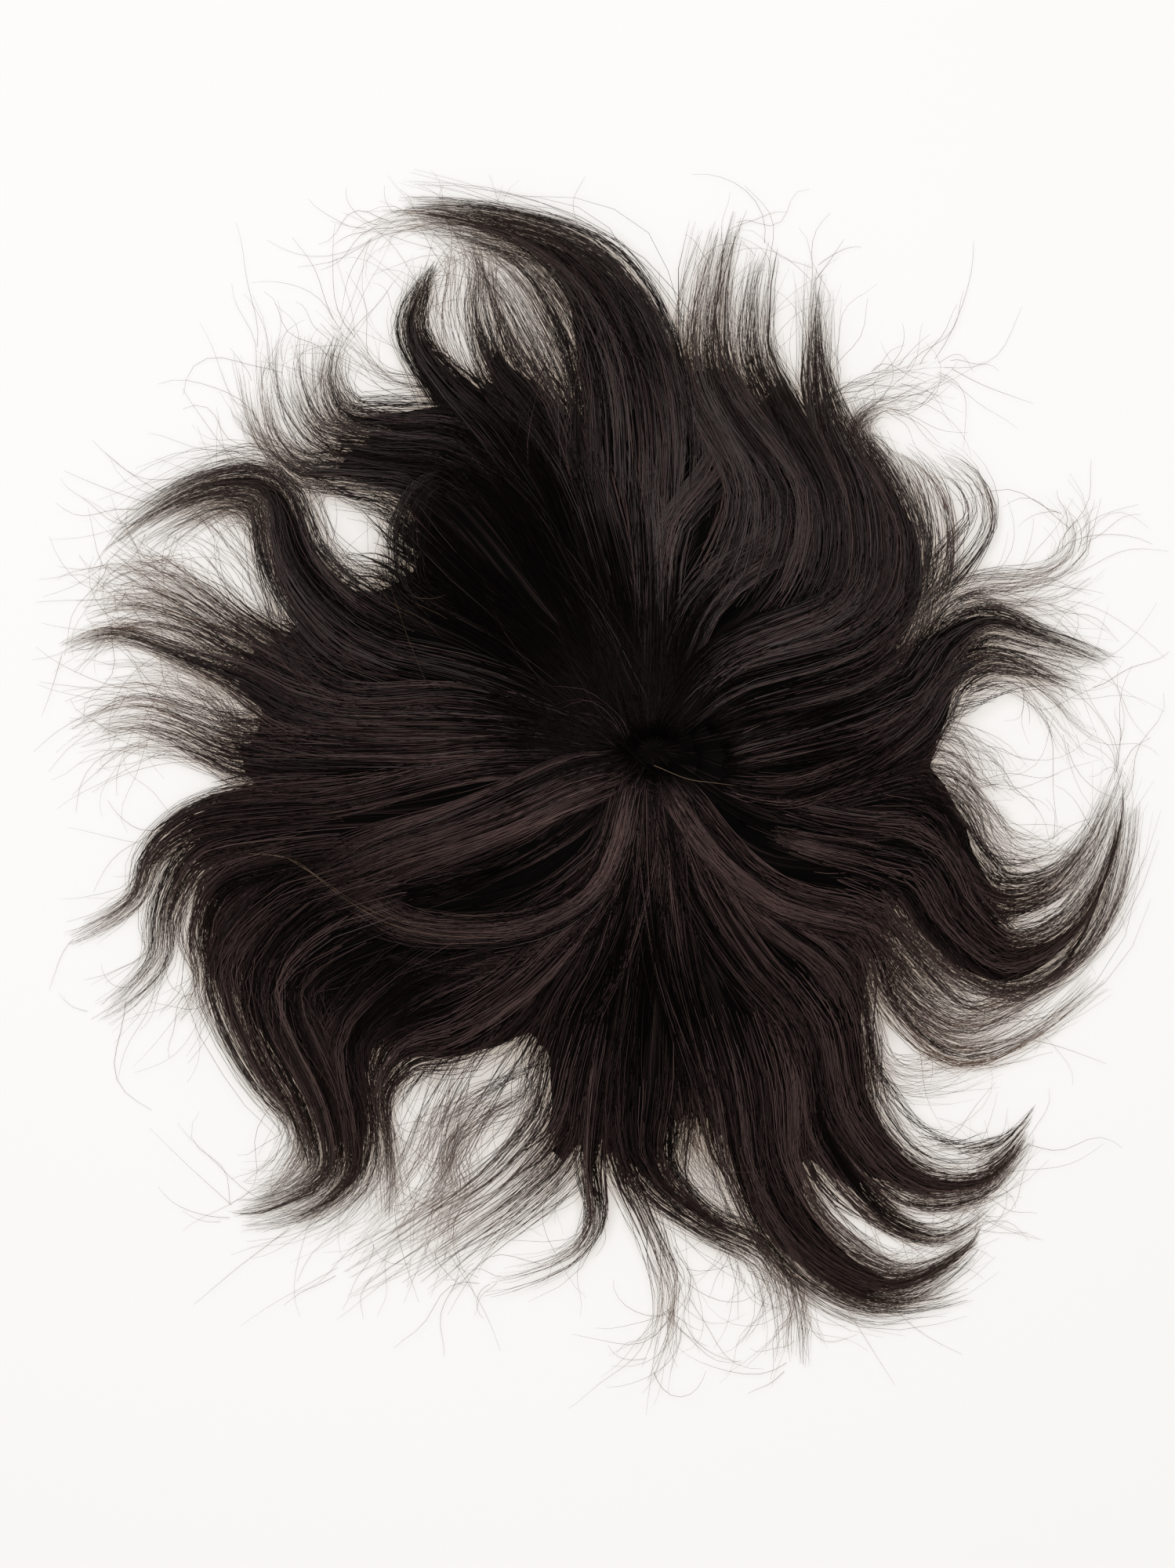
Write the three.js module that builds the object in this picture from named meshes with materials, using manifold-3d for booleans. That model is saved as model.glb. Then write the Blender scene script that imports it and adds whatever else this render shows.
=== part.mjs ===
// A hair replacement system lying hair side up: a thin domed base, and wavy hair that leaves one
// whorl on its crown and spreads in locks over the surface all round it.
// Units are millimetres. +Z is up, the surface it lies on is z = 0, and +Y is the front of the head.
// The origin is on that surface, under the middle of the whole spread.

import * as THREE from "three";
import { mergeVertices } from "three/addons/utils/BufferGeometryUtils.js";
import Module from "manifold-3d";

const wasm = await Module();
wasm.setup();

// Driving dimensions. Plan places are [x, y] from the crown point, near the whorl.
const BASE_CENTRE = [-5, -3];
const BASE_WIDTH = 170;
const BASE_LENGTH = 214;
const BASE_HEIGHT = 45;
const BASE_WALL = 1.2;
const DOME_FULLNESS = 2.2;
const DOME_ROUNDNESS = 0.6;

const WHORL = [8, 2];
const WHORL_DIMPLE = 4;
const CROWN_RADIUS = 24;

const DRAPE_WIDTH = 206;
const DRAPE_LENGTH = 240;
const DRAPE_HEIGHT = 60;
const DRAPE_REACH = 0.84;
const DRAPE_FALL = 3.2;
const DRAPE_END = 2;

const BED_BELOW_DRAPE = 2;
const BED_EDGE = 3.5;
const RIB_HEIGHT = 1.6;

const LOCK_ROOT = 0.68;
const LOCK_LEAST = 1.1;
const LOCK_TAPER = [0.5, 1, 1, 0.9, 0.7, 0.35];
const LIFT_FROM = 0.7;
const LIFT_TO = 1.3;

const GAP = 0.4;
const GAP_OVER_BASE = 0.6;
const KEEP_OUT_PAST_BED = 12;

// Mesh fineness
const BASE_SIDES = 36;
const BASE_RINGS = 6;
const BED_COLUMN_DEGREES = 8;
const BED_RINGS_OVER_BASE = 6;
const BED_RINGS = 8;
const CROWN_SIDES = 24;
const CROWN_RINGS = 3;
const LOCK_STEPS = [1, 2, 3, 3, 2];
const LOCK_SECTION = [0, 60, 120, 180, 270];

// How far the bed of hair lies out from the whorl. Columns: bearing in degrees from +X, reach.
const BED_REACH = [
  [0, 104],
  [22, 108],
  [35, 122],
  [55, 142],
  [75, 140],
  [95, 142],
  [112, 134],
  [124, 138],
  [136, 116],
  [152, 112],
  [166, 142],
  [180, 148],
  [192, 146],
  [205, 154],
  [220, 150],
  [230, 134],
  [240, 116],
  [249, 118],
  [259, 142],
  [272, 148],
  [288, 156],
  [300, 146],
  [311, 118],
  [322, 118],
  [338, 118],
  [350, 108],
];

// The hair in five directions, each between two bearings about the whorl, in degrees from +X.
// A lock rises out of the bed on the way from the whorl to the place where it leaves the bed. Its row
// gives the plan stations of its middle line, its full width at leave, turn, run and tip, and its
// full thickness where it leaves.
const LOCK_COLUMNS = ["name", "leave", "bend", "turn", "run", "tip", "widths", "thick"];
const SECTIONS = {
  hair_front_right: {
    bearings: [24, 113],
    locks: [
      ["tongue", [-1, 115], [-10, 152], [-24, 178], [-45, 197], [-92, 209], [46, 42, 15, 4], 11],
      ["lining", [-32, 128], [-49, 150], [-57, 172], [-56, 190], [-66, 201], [14, 11, 7, 5], 6],
      ["sweep_first", [38, 70], [45, 102], [28, 138], [24, 160], [33, 198], [26, 17, 12, 5], 8],
      ["sweep_inner", [56, 66], [62, 100], [38, 138], [32, 160], [38, 200], [20, 16, 14, 5], 9],
      ["sweep_middle", [72, 62], [76, 96], [56, 134], [47, 156], [51, 190], [22, 16, 14, 8], 10],
      ["sweep_outer", [86, 62], [88, 98], [75, 130], [71, 155], [70, 182], [22, 14, 8, 5], 10],
      ["temple", [102, 56], [109, 82], [100, 107], [88, 125], [98, 134], [22, 16, 9, 4], 9],
      ["temple_curl", [110, 60], [118, 78], [116, 98], [108, 112], [98, 120], [12, 9, 7, 3], 7],
      ["temple_loop", [115, 66], [126, 77], [134, 90], [130, 104], [117, 115], [10, 11, 9, 4], 6],
    ],
  },
  hair_front_left: {
    bearings: [113, 186.5],
    locks: [
      ["hook_small", [-52, 120], [-72, 142], [-84, 162], [-81, 178], [-76, 188], [20, 11, 6, 3], 8],
      ["cheek_upper", [-62, 124], [-90, 128], [-108, 131], [-114, 145], [-111, 161], [18, 12, 7, 3], 8],
      ["cheek_middle", [-66, 112], [-96, 117], [-119, 122], [-129, 138], [-131, 160], [20, 14, 12, 8], 8],
      ["cheek_lower", [-78, 103], [-105, 108], [-126, 110], [-138, 124], [-142, 150], [18, 12, 9, 6], 7],
      ["hook", [-104, 48], [-127, 72], [-141, 104], [-168, 100], [-204, 79], [26, 22, 13, 5], 11],
      ["streak_upper", [-120, 32], [-142, 43], [-162, 57], [-178, 68], [-196, 80], [16, 14, 14, 8], 8],
      ["streak_middle", [-124, 25], [-147, 38], [-168, 49], [-186, 54], [-206, 52], [18, 12, 10, 6], 8],
      ["streak_lower", [-126, 18], [-150, 31], [-170, 39], [-196, 47], [-216, 41], [20, 10, 6, 3], 8],
      ["fan", [-128, 3], [-152, 5], [-172, 13], [-190, 17], [-212, 10], [28, 18, 16, 10], 8],
    ],
  },
  hair_back_left: {
    bearings: [186.5, 249],
    locks: [
      ["rim_outer", [-135, -21], [-167, -25], [-184, -38], [-190, -55], [-213, -69], [22, 10, 6, 3], 7],
      ["rim_middle", [-135, -29], [-166, -37], [-178, -58], [-181, -78], [-202, -97], [18, 12, 8, 4], 8],
      ["rim_inner", [-128, -38], [-158, -48], [-166, -68], [-163, -86], [-175, -103], [16, 11, 8, 5], 8],
      ["wave_outer", [-128, -50], [-156, -80], [-142, -122], [-126, -144], [-140, -167], [20, 12, 8, 5], 9],
      ["wave", [-112, -62], [-136, -88], [-118, -134], [-116, -160], [-148, -175], [36, 24, 18, 9], 12],
      ["wave_inner", [-84, -85], [-107, -108], [-104, -140], [-106, -160], [-127, -177], [24, 16, 12, 7], 10],
      ["crescent", [-62, -104], [-86, -112], [-96, -128], [-93, -148], [-92, -175], [22, 9, 6, 4], 7],
      ["veil", [-46, -102], [-59, -122], [-69, -140], [-76, -158], [-90, -176], [16, 12, 12, 8], 6],
    ],
  },
  hair_back: {
    bearings: [249, 309.5],
    locks: [
      ["back_sweep", [-24, -115], [-31, -140], [-52, -163], [-75, -178], [-108, -199], [20, 16, 14, 10], 9],
      ["back_fan", [-18, -125], [-24, -152], [-42, -171], [-60, -183], [-80, -198], [16, 12, 12, 9], 8],
      ["back_spike", [-13, -120], [-16, -155], [-14, -178], [-24, -191], [-52, -200], [12, 6, 6, 4], 6],
      ["back_tail", [-4, -120], [-4, -155], [9, -186], [14, -208], [6, -236], [14, 9, 8, 5], 7],
      ["nape_edge", [6, -122], [6, -155], [28, -177], [54, -191], [63, -228], [28, 12, 10, 7], 9],
      ["nape_fan", [42, -118], [50, -165], [66, -192], [92, -209], [125, -205], [26, 18, 12, 6], 9],
      ["nape_sweep", [48, -120], [53, -158], [72, -186], [102, -201], [130, -186], [26, 22, 16, 6], 11],
      ["nape_under", [66, -112], [73, -145], [96, -175], [118, -183], [136, -172], [14, 8, 9, 6], 7],
      ["nape_hook", [75, -98], [84, -136], [108, -162], [134, -162], [150, -147], [24, 20, 13, 5], 10],
    ],
  },
  hair_right: {
    bearings: [309.5, 384],
    locks: [
      ["swoosh_rim", [87, -68], [100, -95], [125, -114], [152, -106], [176, -85], [12, 7, 5, 3], 7],
      ["swoosh_lower", [90, -60], [105, -85], [128, -101], [152, -91], [172, -75], [20, 14, 10, 5], 9],
      ["swoosh", [108, -42], [122, -62], [144, -79], [172, -64], [188, -22], [34, 26, 16, 5], 12],
      ["swoosh_inner", [112, -22], [126, -40], [142, -53], [165, -46], [187, -6], [26, 15, 10, 4], 8],
      ["ear_lower", [108, 12], [121, 29], [137, 37], [155, 33], [172, 26], [24, 11, 8, 5], 7],
      ["ear_upper", [106, 25], [120, 43], [136, 52], [156, 46], [181, 37], [20, 14, 12, 8], 9],
    ],
  },
};

const HAIR_LOOK = { color: 0x1d1615, roughness: 0.45, metalness: 0 };
const BASE_LOOK = { color: 0x3a2d26, roughness: 0.9, metalness: 0 };

// How far a plan place lies out from the middle of the base, 1 on an oval of the given size.
function ovalRadius([x, y], width, length) {
  return Math.hypot((x - BASE_CENTRE[0]) / (width / 2), (y - BASE_CENTRE[1]) / (length / 2));
}

// Height of a dome at a given part of its radius.
function domeHeight(radius, height, fullness, roundness) {
  const within = Math.max(0, 1 - radius ** fullness);
  return height * within ** roundness;
}

// Inner mould of the hair: the outside of the base with the gap round it.
const MOULD_WIDTH = BASE_WIDTH + 2 * GAP_OVER_BASE;
const MOULD_LENGTH = BASE_LENGTH + 2 * GAP_OVER_BASE;

function mouldHeight(place) {
  const radius = ovalRadius(place, MOULD_WIDTH, MOULD_LENGTH);
  return domeHeight(radius, BASE_HEIGHT + GAP_OVER_BASE, DOME_FULLNESS, DOME_ROUNDNESS);
}

// Height at which the locks run: over the crown, then down in a long curve to the surface.
function drapeHeight(place) {
  const fall = (radius) => DRAPE_HEIGHT / (1 + (radius / DRAPE_REACH) ** DRAPE_FALL);
  const radius = ovalRadius(place, DRAPE_WIDTH, DRAPE_LENGTH);
  return Math.max(0, fall(radius) - fall(DRAPE_END));
}

function bedHeight(place) {
  return Math.max(BED_EDGE, drapeHeight(place) - BED_BELOW_DRAPE);
}

// Distance from the whorl to the edge of the bed, between the bearings of its table.
function bedReach(bearing) {
  const degrees = THREE.MathUtils.euclideanModulo(THREE.MathUtils.radToDeg(bearing), 360);
  const rows = [...BED_REACH, [BED_REACH[0][0] + 360, BED_REACH[0][1]]];
  const after = rows.findIndex(([rowBearing]) => rowBearing > degrees);
  const [[from, near], [to, far]] = [rows[after - 1], rows[after]];
  return THREE.MathUtils.lerp(near, far, (degrees - from) / (to - from));
}

// Distance from the whorl, along a bearing, to the rim of the mould.
function mouldReach(bearing) {
  const [halfWidth, halfLength] = [MOULD_WIDTH / 2, MOULD_LENGTH / 2];
  const along = [Math.cos(bearing) / halfWidth, Math.sin(bearing) / halfLength];
  const from = [(WHORL[0] - BASE_CENTRE[0]) / halfWidth, (WHORL[1] - BASE_CENTRE[1]) / halfLength];
  const a = along[0] ** 2 + along[1] ** 2;
  const b = along[0] * from[0] + along[1] * from[1];
  const c = from[0] ** 2 + from[1] ** 2 - 1;
  return (Math.sqrt(b * b - a * c) - b) / a;
}

// Place at a distance from the whorl along a bearing, moved sideways to the left of it.
function fromWhorl(bearing, distance, sideways = 0) {
  return [
    WHORL[0] + distance * Math.cos(bearing) - sideways * Math.sin(bearing),
    WHORL[1] + distance * Math.sin(bearing) + sideways * Math.cos(bearing),
  ];
}

// Closed surface through rings of equal numbers of points, with flat ends.
function loftGeometry(rings, ends) {
  const count = rings[0].length;
  const index = [];
  for (let ring = 0; ring + 1 < rings.length; ring += 1) {
    for (let side = 0; side < count; side += 1) {
      const next = (side + 1) % count;
      const [a, b] = [ring * count + side, ring * count + next];
      const [c, d] = [a + count, b + count];
      index.push(a, b, d, a, d, c);
    }
  }
  const last = (rings.length - 1) * count;
  for (const [a, b, c] of ends) {
    index.push(a, c, b, last + a, last + b, last + c);
  }
  const geometry = new THREE.BufferGeometry();
  geometry.setAttribute("position", new THREE.Float32BufferAttribute(rings.flat(2), 3));
  geometry.setIndex(index);
  return geometry;
}

function toSolid(geometry) {
  const bare = geometry.clone();
  bare.deleteAttribute("normal");
  bare.deleteAttribute("uv");
  const merged = mergeVertices(bare, 1e-4);
  return new wasm.Manifold(
    new wasm.Mesh({
      numProp: 3,
      vertProperties: new Float32Array(merged.attributes.position.array),
      triVerts: new Uint32Array(merged.index.array),
    }),
  );
}

function toGeometry(solid) {
  const { vertProperties, triVerts } = solid.getMesh();
  const geometry = new THREE.BufferGeometry();
  geometry.setAttribute("position", new THREE.BufferAttribute(vertProperties, 3));
  geometry.setIndex(new THREE.BufferAttribute(triVerts, 1));
  geometry.computeVertexNormals();
  return geometry;
}

function namedMesh(name, geometry, look) {
  const mesh = new THREE.Mesh(geometry, new THREE.MeshStandardMaterial(look));
  mesh.name = name;
  return mesh;
}

// The base: a thin dome turned from a profile, then drawn out to its oval.
function baseCap() {
  const domeLine = (radius, height) =>
    Array.from({ length: BASE_RINGS + 1 }, (_, ring) => {
      const out = Math.sin((ring / BASE_RINGS) * (Math.PI / 2));
      return new THREE.Vector2(radius * out, domeHeight(out, height, DOME_FULLNESS, DOME_ROUNDNESS));
    });
  const inside = domeLine(BASE_WIDTH / 2 - BASE_WALL, BASE_HEIGHT - BASE_WALL);
  const outside = domeLine(BASE_WIDTH / 2, BASE_HEIGHT);
  const geometry = new THREE.LatheGeometry([...inside, ...outside.reverse()], BASE_SIDES);
  geometry.rotateX(Math.PI / 2);
  geometry.scale(1, BASE_LENGTH / BASE_WIDTH, 1);
  geometry.translate(BASE_CENTRE[0], BASE_CENTRE[1], 0);
  return geometry;
}

// The hair at the whorl: a disc on top of the base, dimpled in the middle.
function hairCrown() {
  const ringOf = (heightAt) => (part) =>
    Array.from({ length: CROWN_SIDES }, (_, side) => {
      const place = fromWhorl((2 * Math.PI * side) / CROWN_SIDES, part * CROWN_RADIUS);
      return [...place, heightAt(place, part)];
    });
  const parts = Array.from({ length: CROWN_RINGS }, (_, ring) => (ring + 1) / CROWN_RINGS);
  const under = parts.map(ringOf(mouldHeight));
  const top = parts.map(ringOf((place, part) => bedHeight(place) - WHORL_DIMPLE * (1 - part) ** 2));
  const ends = Array.from({ length: CROWN_SIDES - 2 }, (_, side) => [0, side + 1, side + 2]);
  return loftGeometry([...under, ...top.reverse()], ends);
}

// Radial lines of a section: a bearing each, moved sideways so that its two faces stay flat.
function sectionLines([first, last], clearance) {
  const columns = Math.ceil((last - first) / BED_COLUMN_DEGREES);
  return Array.from({ length: columns + 1 }, (_, column) => {
    const part = column / columns;
    return {
      bearing: THREE.MathUtils.degToRad(THREE.MathUtils.lerp(first, last, part)),
      sideways: THREE.MathUtils.lerp(clearance, -clearance, part),
      rib: column % 2 === 0 ? 0 : RIB_HEIGHT,
    };
  });
}

// The bed of one section: the hair between the base and the locks, from the crown to the bed's edge.
function bedSolid(bearings) {
  const start = CROWN_RADIUS + GAP;
  const rings = sectionLines(bearings, GAP / 2).map(({ bearing, sideways, rib }) => {
    const rim = mouldReach(bearing);
    const edge = bedReach(bearing);
    const top = [];
    const under = [];
    for (let ring = 0; ring <= BED_RINGS; ring += 1) {
      const overTop = fromWhorl(bearing, THREE.MathUtils.lerp(start, edge, ring / BED_RINGS), sideways);
      top.push([...overTop, bedHeight(overTop) + (ring > 0 ? rib : 0)]);
      const overBase = ring / BED_RINGS_OVER_BASE;
      const pastBase = (ring - BED_RINGS_OVER_BASE) / (BED_RINGS - BED_RINGS_OVER_BASE);
      const distance =
        overBase < 1
          ? THREE.MathUtils.lerp(start, rim, Math.sin((overBase * Math.PI) / 2))
          : THREE.MathUtils.lerp(rim, edge, pastBase);
      const below = fromWhorl(bearing, distance, sideways);
      under.push([...below, overBase < 1 ? mouldHeight(below) : 0]);
    }
    return [...top, ...under.reverse()];
  });
  const lastPoint = 2 * BED_RINGS + 1;
  const ends = [];
  for (let ring = 0; ring < BED_RINGS; ring += 1) {
    ends.push([ring, ring + 1, lastPoint - ring], [ring + 1, lastPoint - ring - 1, lastPoint - ring]);
  }
  return toSolid(loftGeometry(rings, ends));
}

// One lock: a flat oval section carried along a smooth plan curve, lying on the drape.
function lockSolid(row) {
  const lock = Object.fromEntries(LOCK_COLUMNS.map((column, index) => [column, row[index]]));
  const root = WHORL.map((value, axis) => THREE.MathUtils.lerp(value, lock.leave[axis], LOCK_ROOT));
  const stations = [root, lock.leave, lock.bend, lock.turn, lock.run, lock.tip];
  const [leave, turn, run, tip] = lock.widths;
  const widths = [leave / 3, leave, (leave + turn) / 2, turn, run, tip];
  const thicks = LOCK_TAPER.map((part) => part * lock.thick);
  const curve = new THREE.CatmullRomCurve3(stations.map(([x, y]) => new THREE.Vector3(x, y, 0)));
  const between = (values, along) => {
    const station = Math.min(Math.floor(along), values.length - 2);
    return THREE.MathUtils.lerp(values[station], values[station + 1], along - station);
  };
  const ringAt = (along) => {
    const middle = curve.getPoint(along / LOCK_STEPS.length);
    const ahead = curve.getTangent(along / LOCK_STEPS.length);
    const halfWidth = between(widths, along) / 2;
    const halfThick = Math.max(LOCK_LEAST, between(thicks, along) / 2);
    const outward = ovalRadius([middle.x, middle.y], DRAPE_WIDTH, DRAPE_LENGTH);
    const lift = THREE.MathUtils.smoothstep(outward, LIFT_FROM, LIFT_TO);
    const height = drapeHeight([middle.x, middle.y]) + lift * halfThick;
    return LOCK_SECTION.map(THREE.MathUtils.degToRad).map((turned) => {
      const aside = halfWidth * Math.cos(turned);
      const up = halfThick * Math.sin(turned);
      return [middle.x - aside * ahead.y, middle.y + aside * ahead.x, Math.max(0, height + up)];
    });
  };
  const rings = [ringAt(0)];
  LOCK_STEPS.forEach((steps, station) => {
    for (let step = 1; step <= steps; step += 1) {
      rings.push(ringAt(station + step / steps));
    }
  });
  const ends = LOCK_SECTION.slice(2).map((_, side) => [0, side + 1, side + 2]);
  return toSolid(loftGeometry(rings, ends));
}

// Upright block over a section's bed and a little past it, which its neighbours' locks keep out of.
function keepOut(bearings) {
  const outline = sectionLines(bearings, -GAP / 2).map(({ bearing, sideways }) =>
    fromWhorl(bearing, bedReach(bearing) + KEEP_OUT_PAST_BED, sideways),
  );
  return uprightBlock([WHORL, ...outline]);
}

function uprightBlock(outline) {
  const shape = new THREE.Shape(outline.map(([x, y]) => new THREE.Vector2(x, y)));
  const geometry = new THREE.ExtrudeGeometry(shape, { depth: 3 * DRAPE_HEIGHT, bevelEnabled: false });
  geometry.translate(0, 0, -DRAPE_HEIGHT);
  return toSolid(geometry);
}

// One section of the hair: its bed with its locks fused on, kept clear of the crown and neighbours.
function hairSection(name) {
  const { bearings, locks } = SECTIONS[name];
  const crownOutline = Array.from({ length: CROWN_SIDES }, (_, side) =>
    fromWhorl((2 * Math.PI * side) / CROWN_SIDES, CROWN_RADIUS + GAP),
  );
  let cut = uprightBlock(crownOutline);
  for (const other of Object.keys(SECTIONS)) {
    if (other !== name) {
      cut = cut.add(keepOut(SECTIONS[other].bearings));
    }
  }
  let solid = bedSolid(bearings);
  for (const row of locks) {
    solid = solid.add(lockSolid(row).subtract(cut));
  }
  return toGeometry(solid);
}

const spread = new THREE.Group();
spread.add(namedMesh("base_cap", baseCap(), BASE_LOOK));
spread.add(namedMesh("hair_crown", hairCrown(), HAIR_LOOK));
for (const name of Object.keys(SECTIONS)) {
  spread.add(namedMesh(name, hairSection(name), HAIR_LOOK));
}
const middle = new THREE.Box3().setFromObject(spread).getCenter(new THREE.Vector3());
spread.position.set(-middle.x, -middle.y, 0);

const hairSystem = new THREE.Group();
hairSystem.add(spread);

export default hairSystem;
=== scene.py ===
"""Looks of a hair replacement system that lies hair side up: net base, dense hair and loose strands."""

import math
from collections import namedtuple

import bmesh
import bpy
import numpy as np
from bpy.props import FloatProperty, FloatVectorProperty, IntProperty, PointerProperty
from bpy.types import Operator, Panel, PropertyGroup
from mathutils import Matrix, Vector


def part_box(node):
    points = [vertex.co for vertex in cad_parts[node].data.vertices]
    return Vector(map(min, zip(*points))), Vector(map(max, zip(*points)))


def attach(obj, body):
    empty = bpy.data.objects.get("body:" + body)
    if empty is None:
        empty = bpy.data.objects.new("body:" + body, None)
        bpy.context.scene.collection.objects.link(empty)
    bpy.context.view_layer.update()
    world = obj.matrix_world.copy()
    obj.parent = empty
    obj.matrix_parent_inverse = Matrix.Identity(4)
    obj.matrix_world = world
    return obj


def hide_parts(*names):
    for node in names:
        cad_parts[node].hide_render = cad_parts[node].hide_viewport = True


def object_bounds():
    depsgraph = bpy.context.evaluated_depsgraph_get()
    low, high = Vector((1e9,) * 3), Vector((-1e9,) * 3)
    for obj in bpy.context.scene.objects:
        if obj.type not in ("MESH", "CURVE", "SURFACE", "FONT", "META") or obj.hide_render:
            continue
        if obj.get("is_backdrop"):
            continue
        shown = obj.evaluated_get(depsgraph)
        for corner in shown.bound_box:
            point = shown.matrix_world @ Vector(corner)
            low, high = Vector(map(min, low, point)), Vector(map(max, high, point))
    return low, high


bl_info = {
    "name": "Hair Replacement System",
    "version": (1, 0, 0),
    "blender": (4, 5, 0),
    "location": "View3D > Sidebar > Hair System",
    "description": "Dresses the packed part with its net base, its dense hair and its strands",
    "category": "Object",
}

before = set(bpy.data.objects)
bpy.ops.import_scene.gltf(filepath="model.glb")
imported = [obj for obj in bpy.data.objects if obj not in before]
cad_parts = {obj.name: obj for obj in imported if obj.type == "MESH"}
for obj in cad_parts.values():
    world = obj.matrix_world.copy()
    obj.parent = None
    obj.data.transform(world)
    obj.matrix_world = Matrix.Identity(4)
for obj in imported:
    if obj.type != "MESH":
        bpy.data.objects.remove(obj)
CAD_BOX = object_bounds()

# Sizes that follow the part's own solids. Places in plan are millimetres from the crown point:
# +X to the right and +Y to the front of the head.
MM = 0.001
UP = np.array((0.0, 0.0, 1.0))
BASE_LOW, BASE_HIGH = (np.array(corner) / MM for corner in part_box("base_cap"))
BASE_CENTRE = np.array((-5.0, -3.0))
BASE_WIDTH, BASE_LENGTH, BASE_HEIGHT = BASE_HIGH - BASE_LOW
BASE_WALL = 1.2
BASE_RINGS, BASE_TURNS = 20, 96
CROWN_POINT = (BASE_LOW + BASE_HIGH)[:2] / 2 - BASE_CENTRE
DOME_FULLNESS, DOME_ROUNDNESS = 2.2, 0.6
GAP_OVER_BASE = 0.6
WHORL = np.array((8.0, 2.0))
CROWN_RADIUS = 34.0
CROWN_RINGS, CROWN_TURNS = 12, 48
CROWN_BELOW_DRAPE = 2.5

# The drape that the locks follow, from the crown down to the surface.
DRAPE_WIDTH, DRAPE_LENGTH, DRAPE_HEIGHT = 206.0, 240.0, 60.0
DRAPE_REACH, DRAPE_FALL, DRAPE_END = 0.84, 3.2, 2.0
LIFT = (0.7, 1.3)
LEAST_LIFT = 0.15

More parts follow.
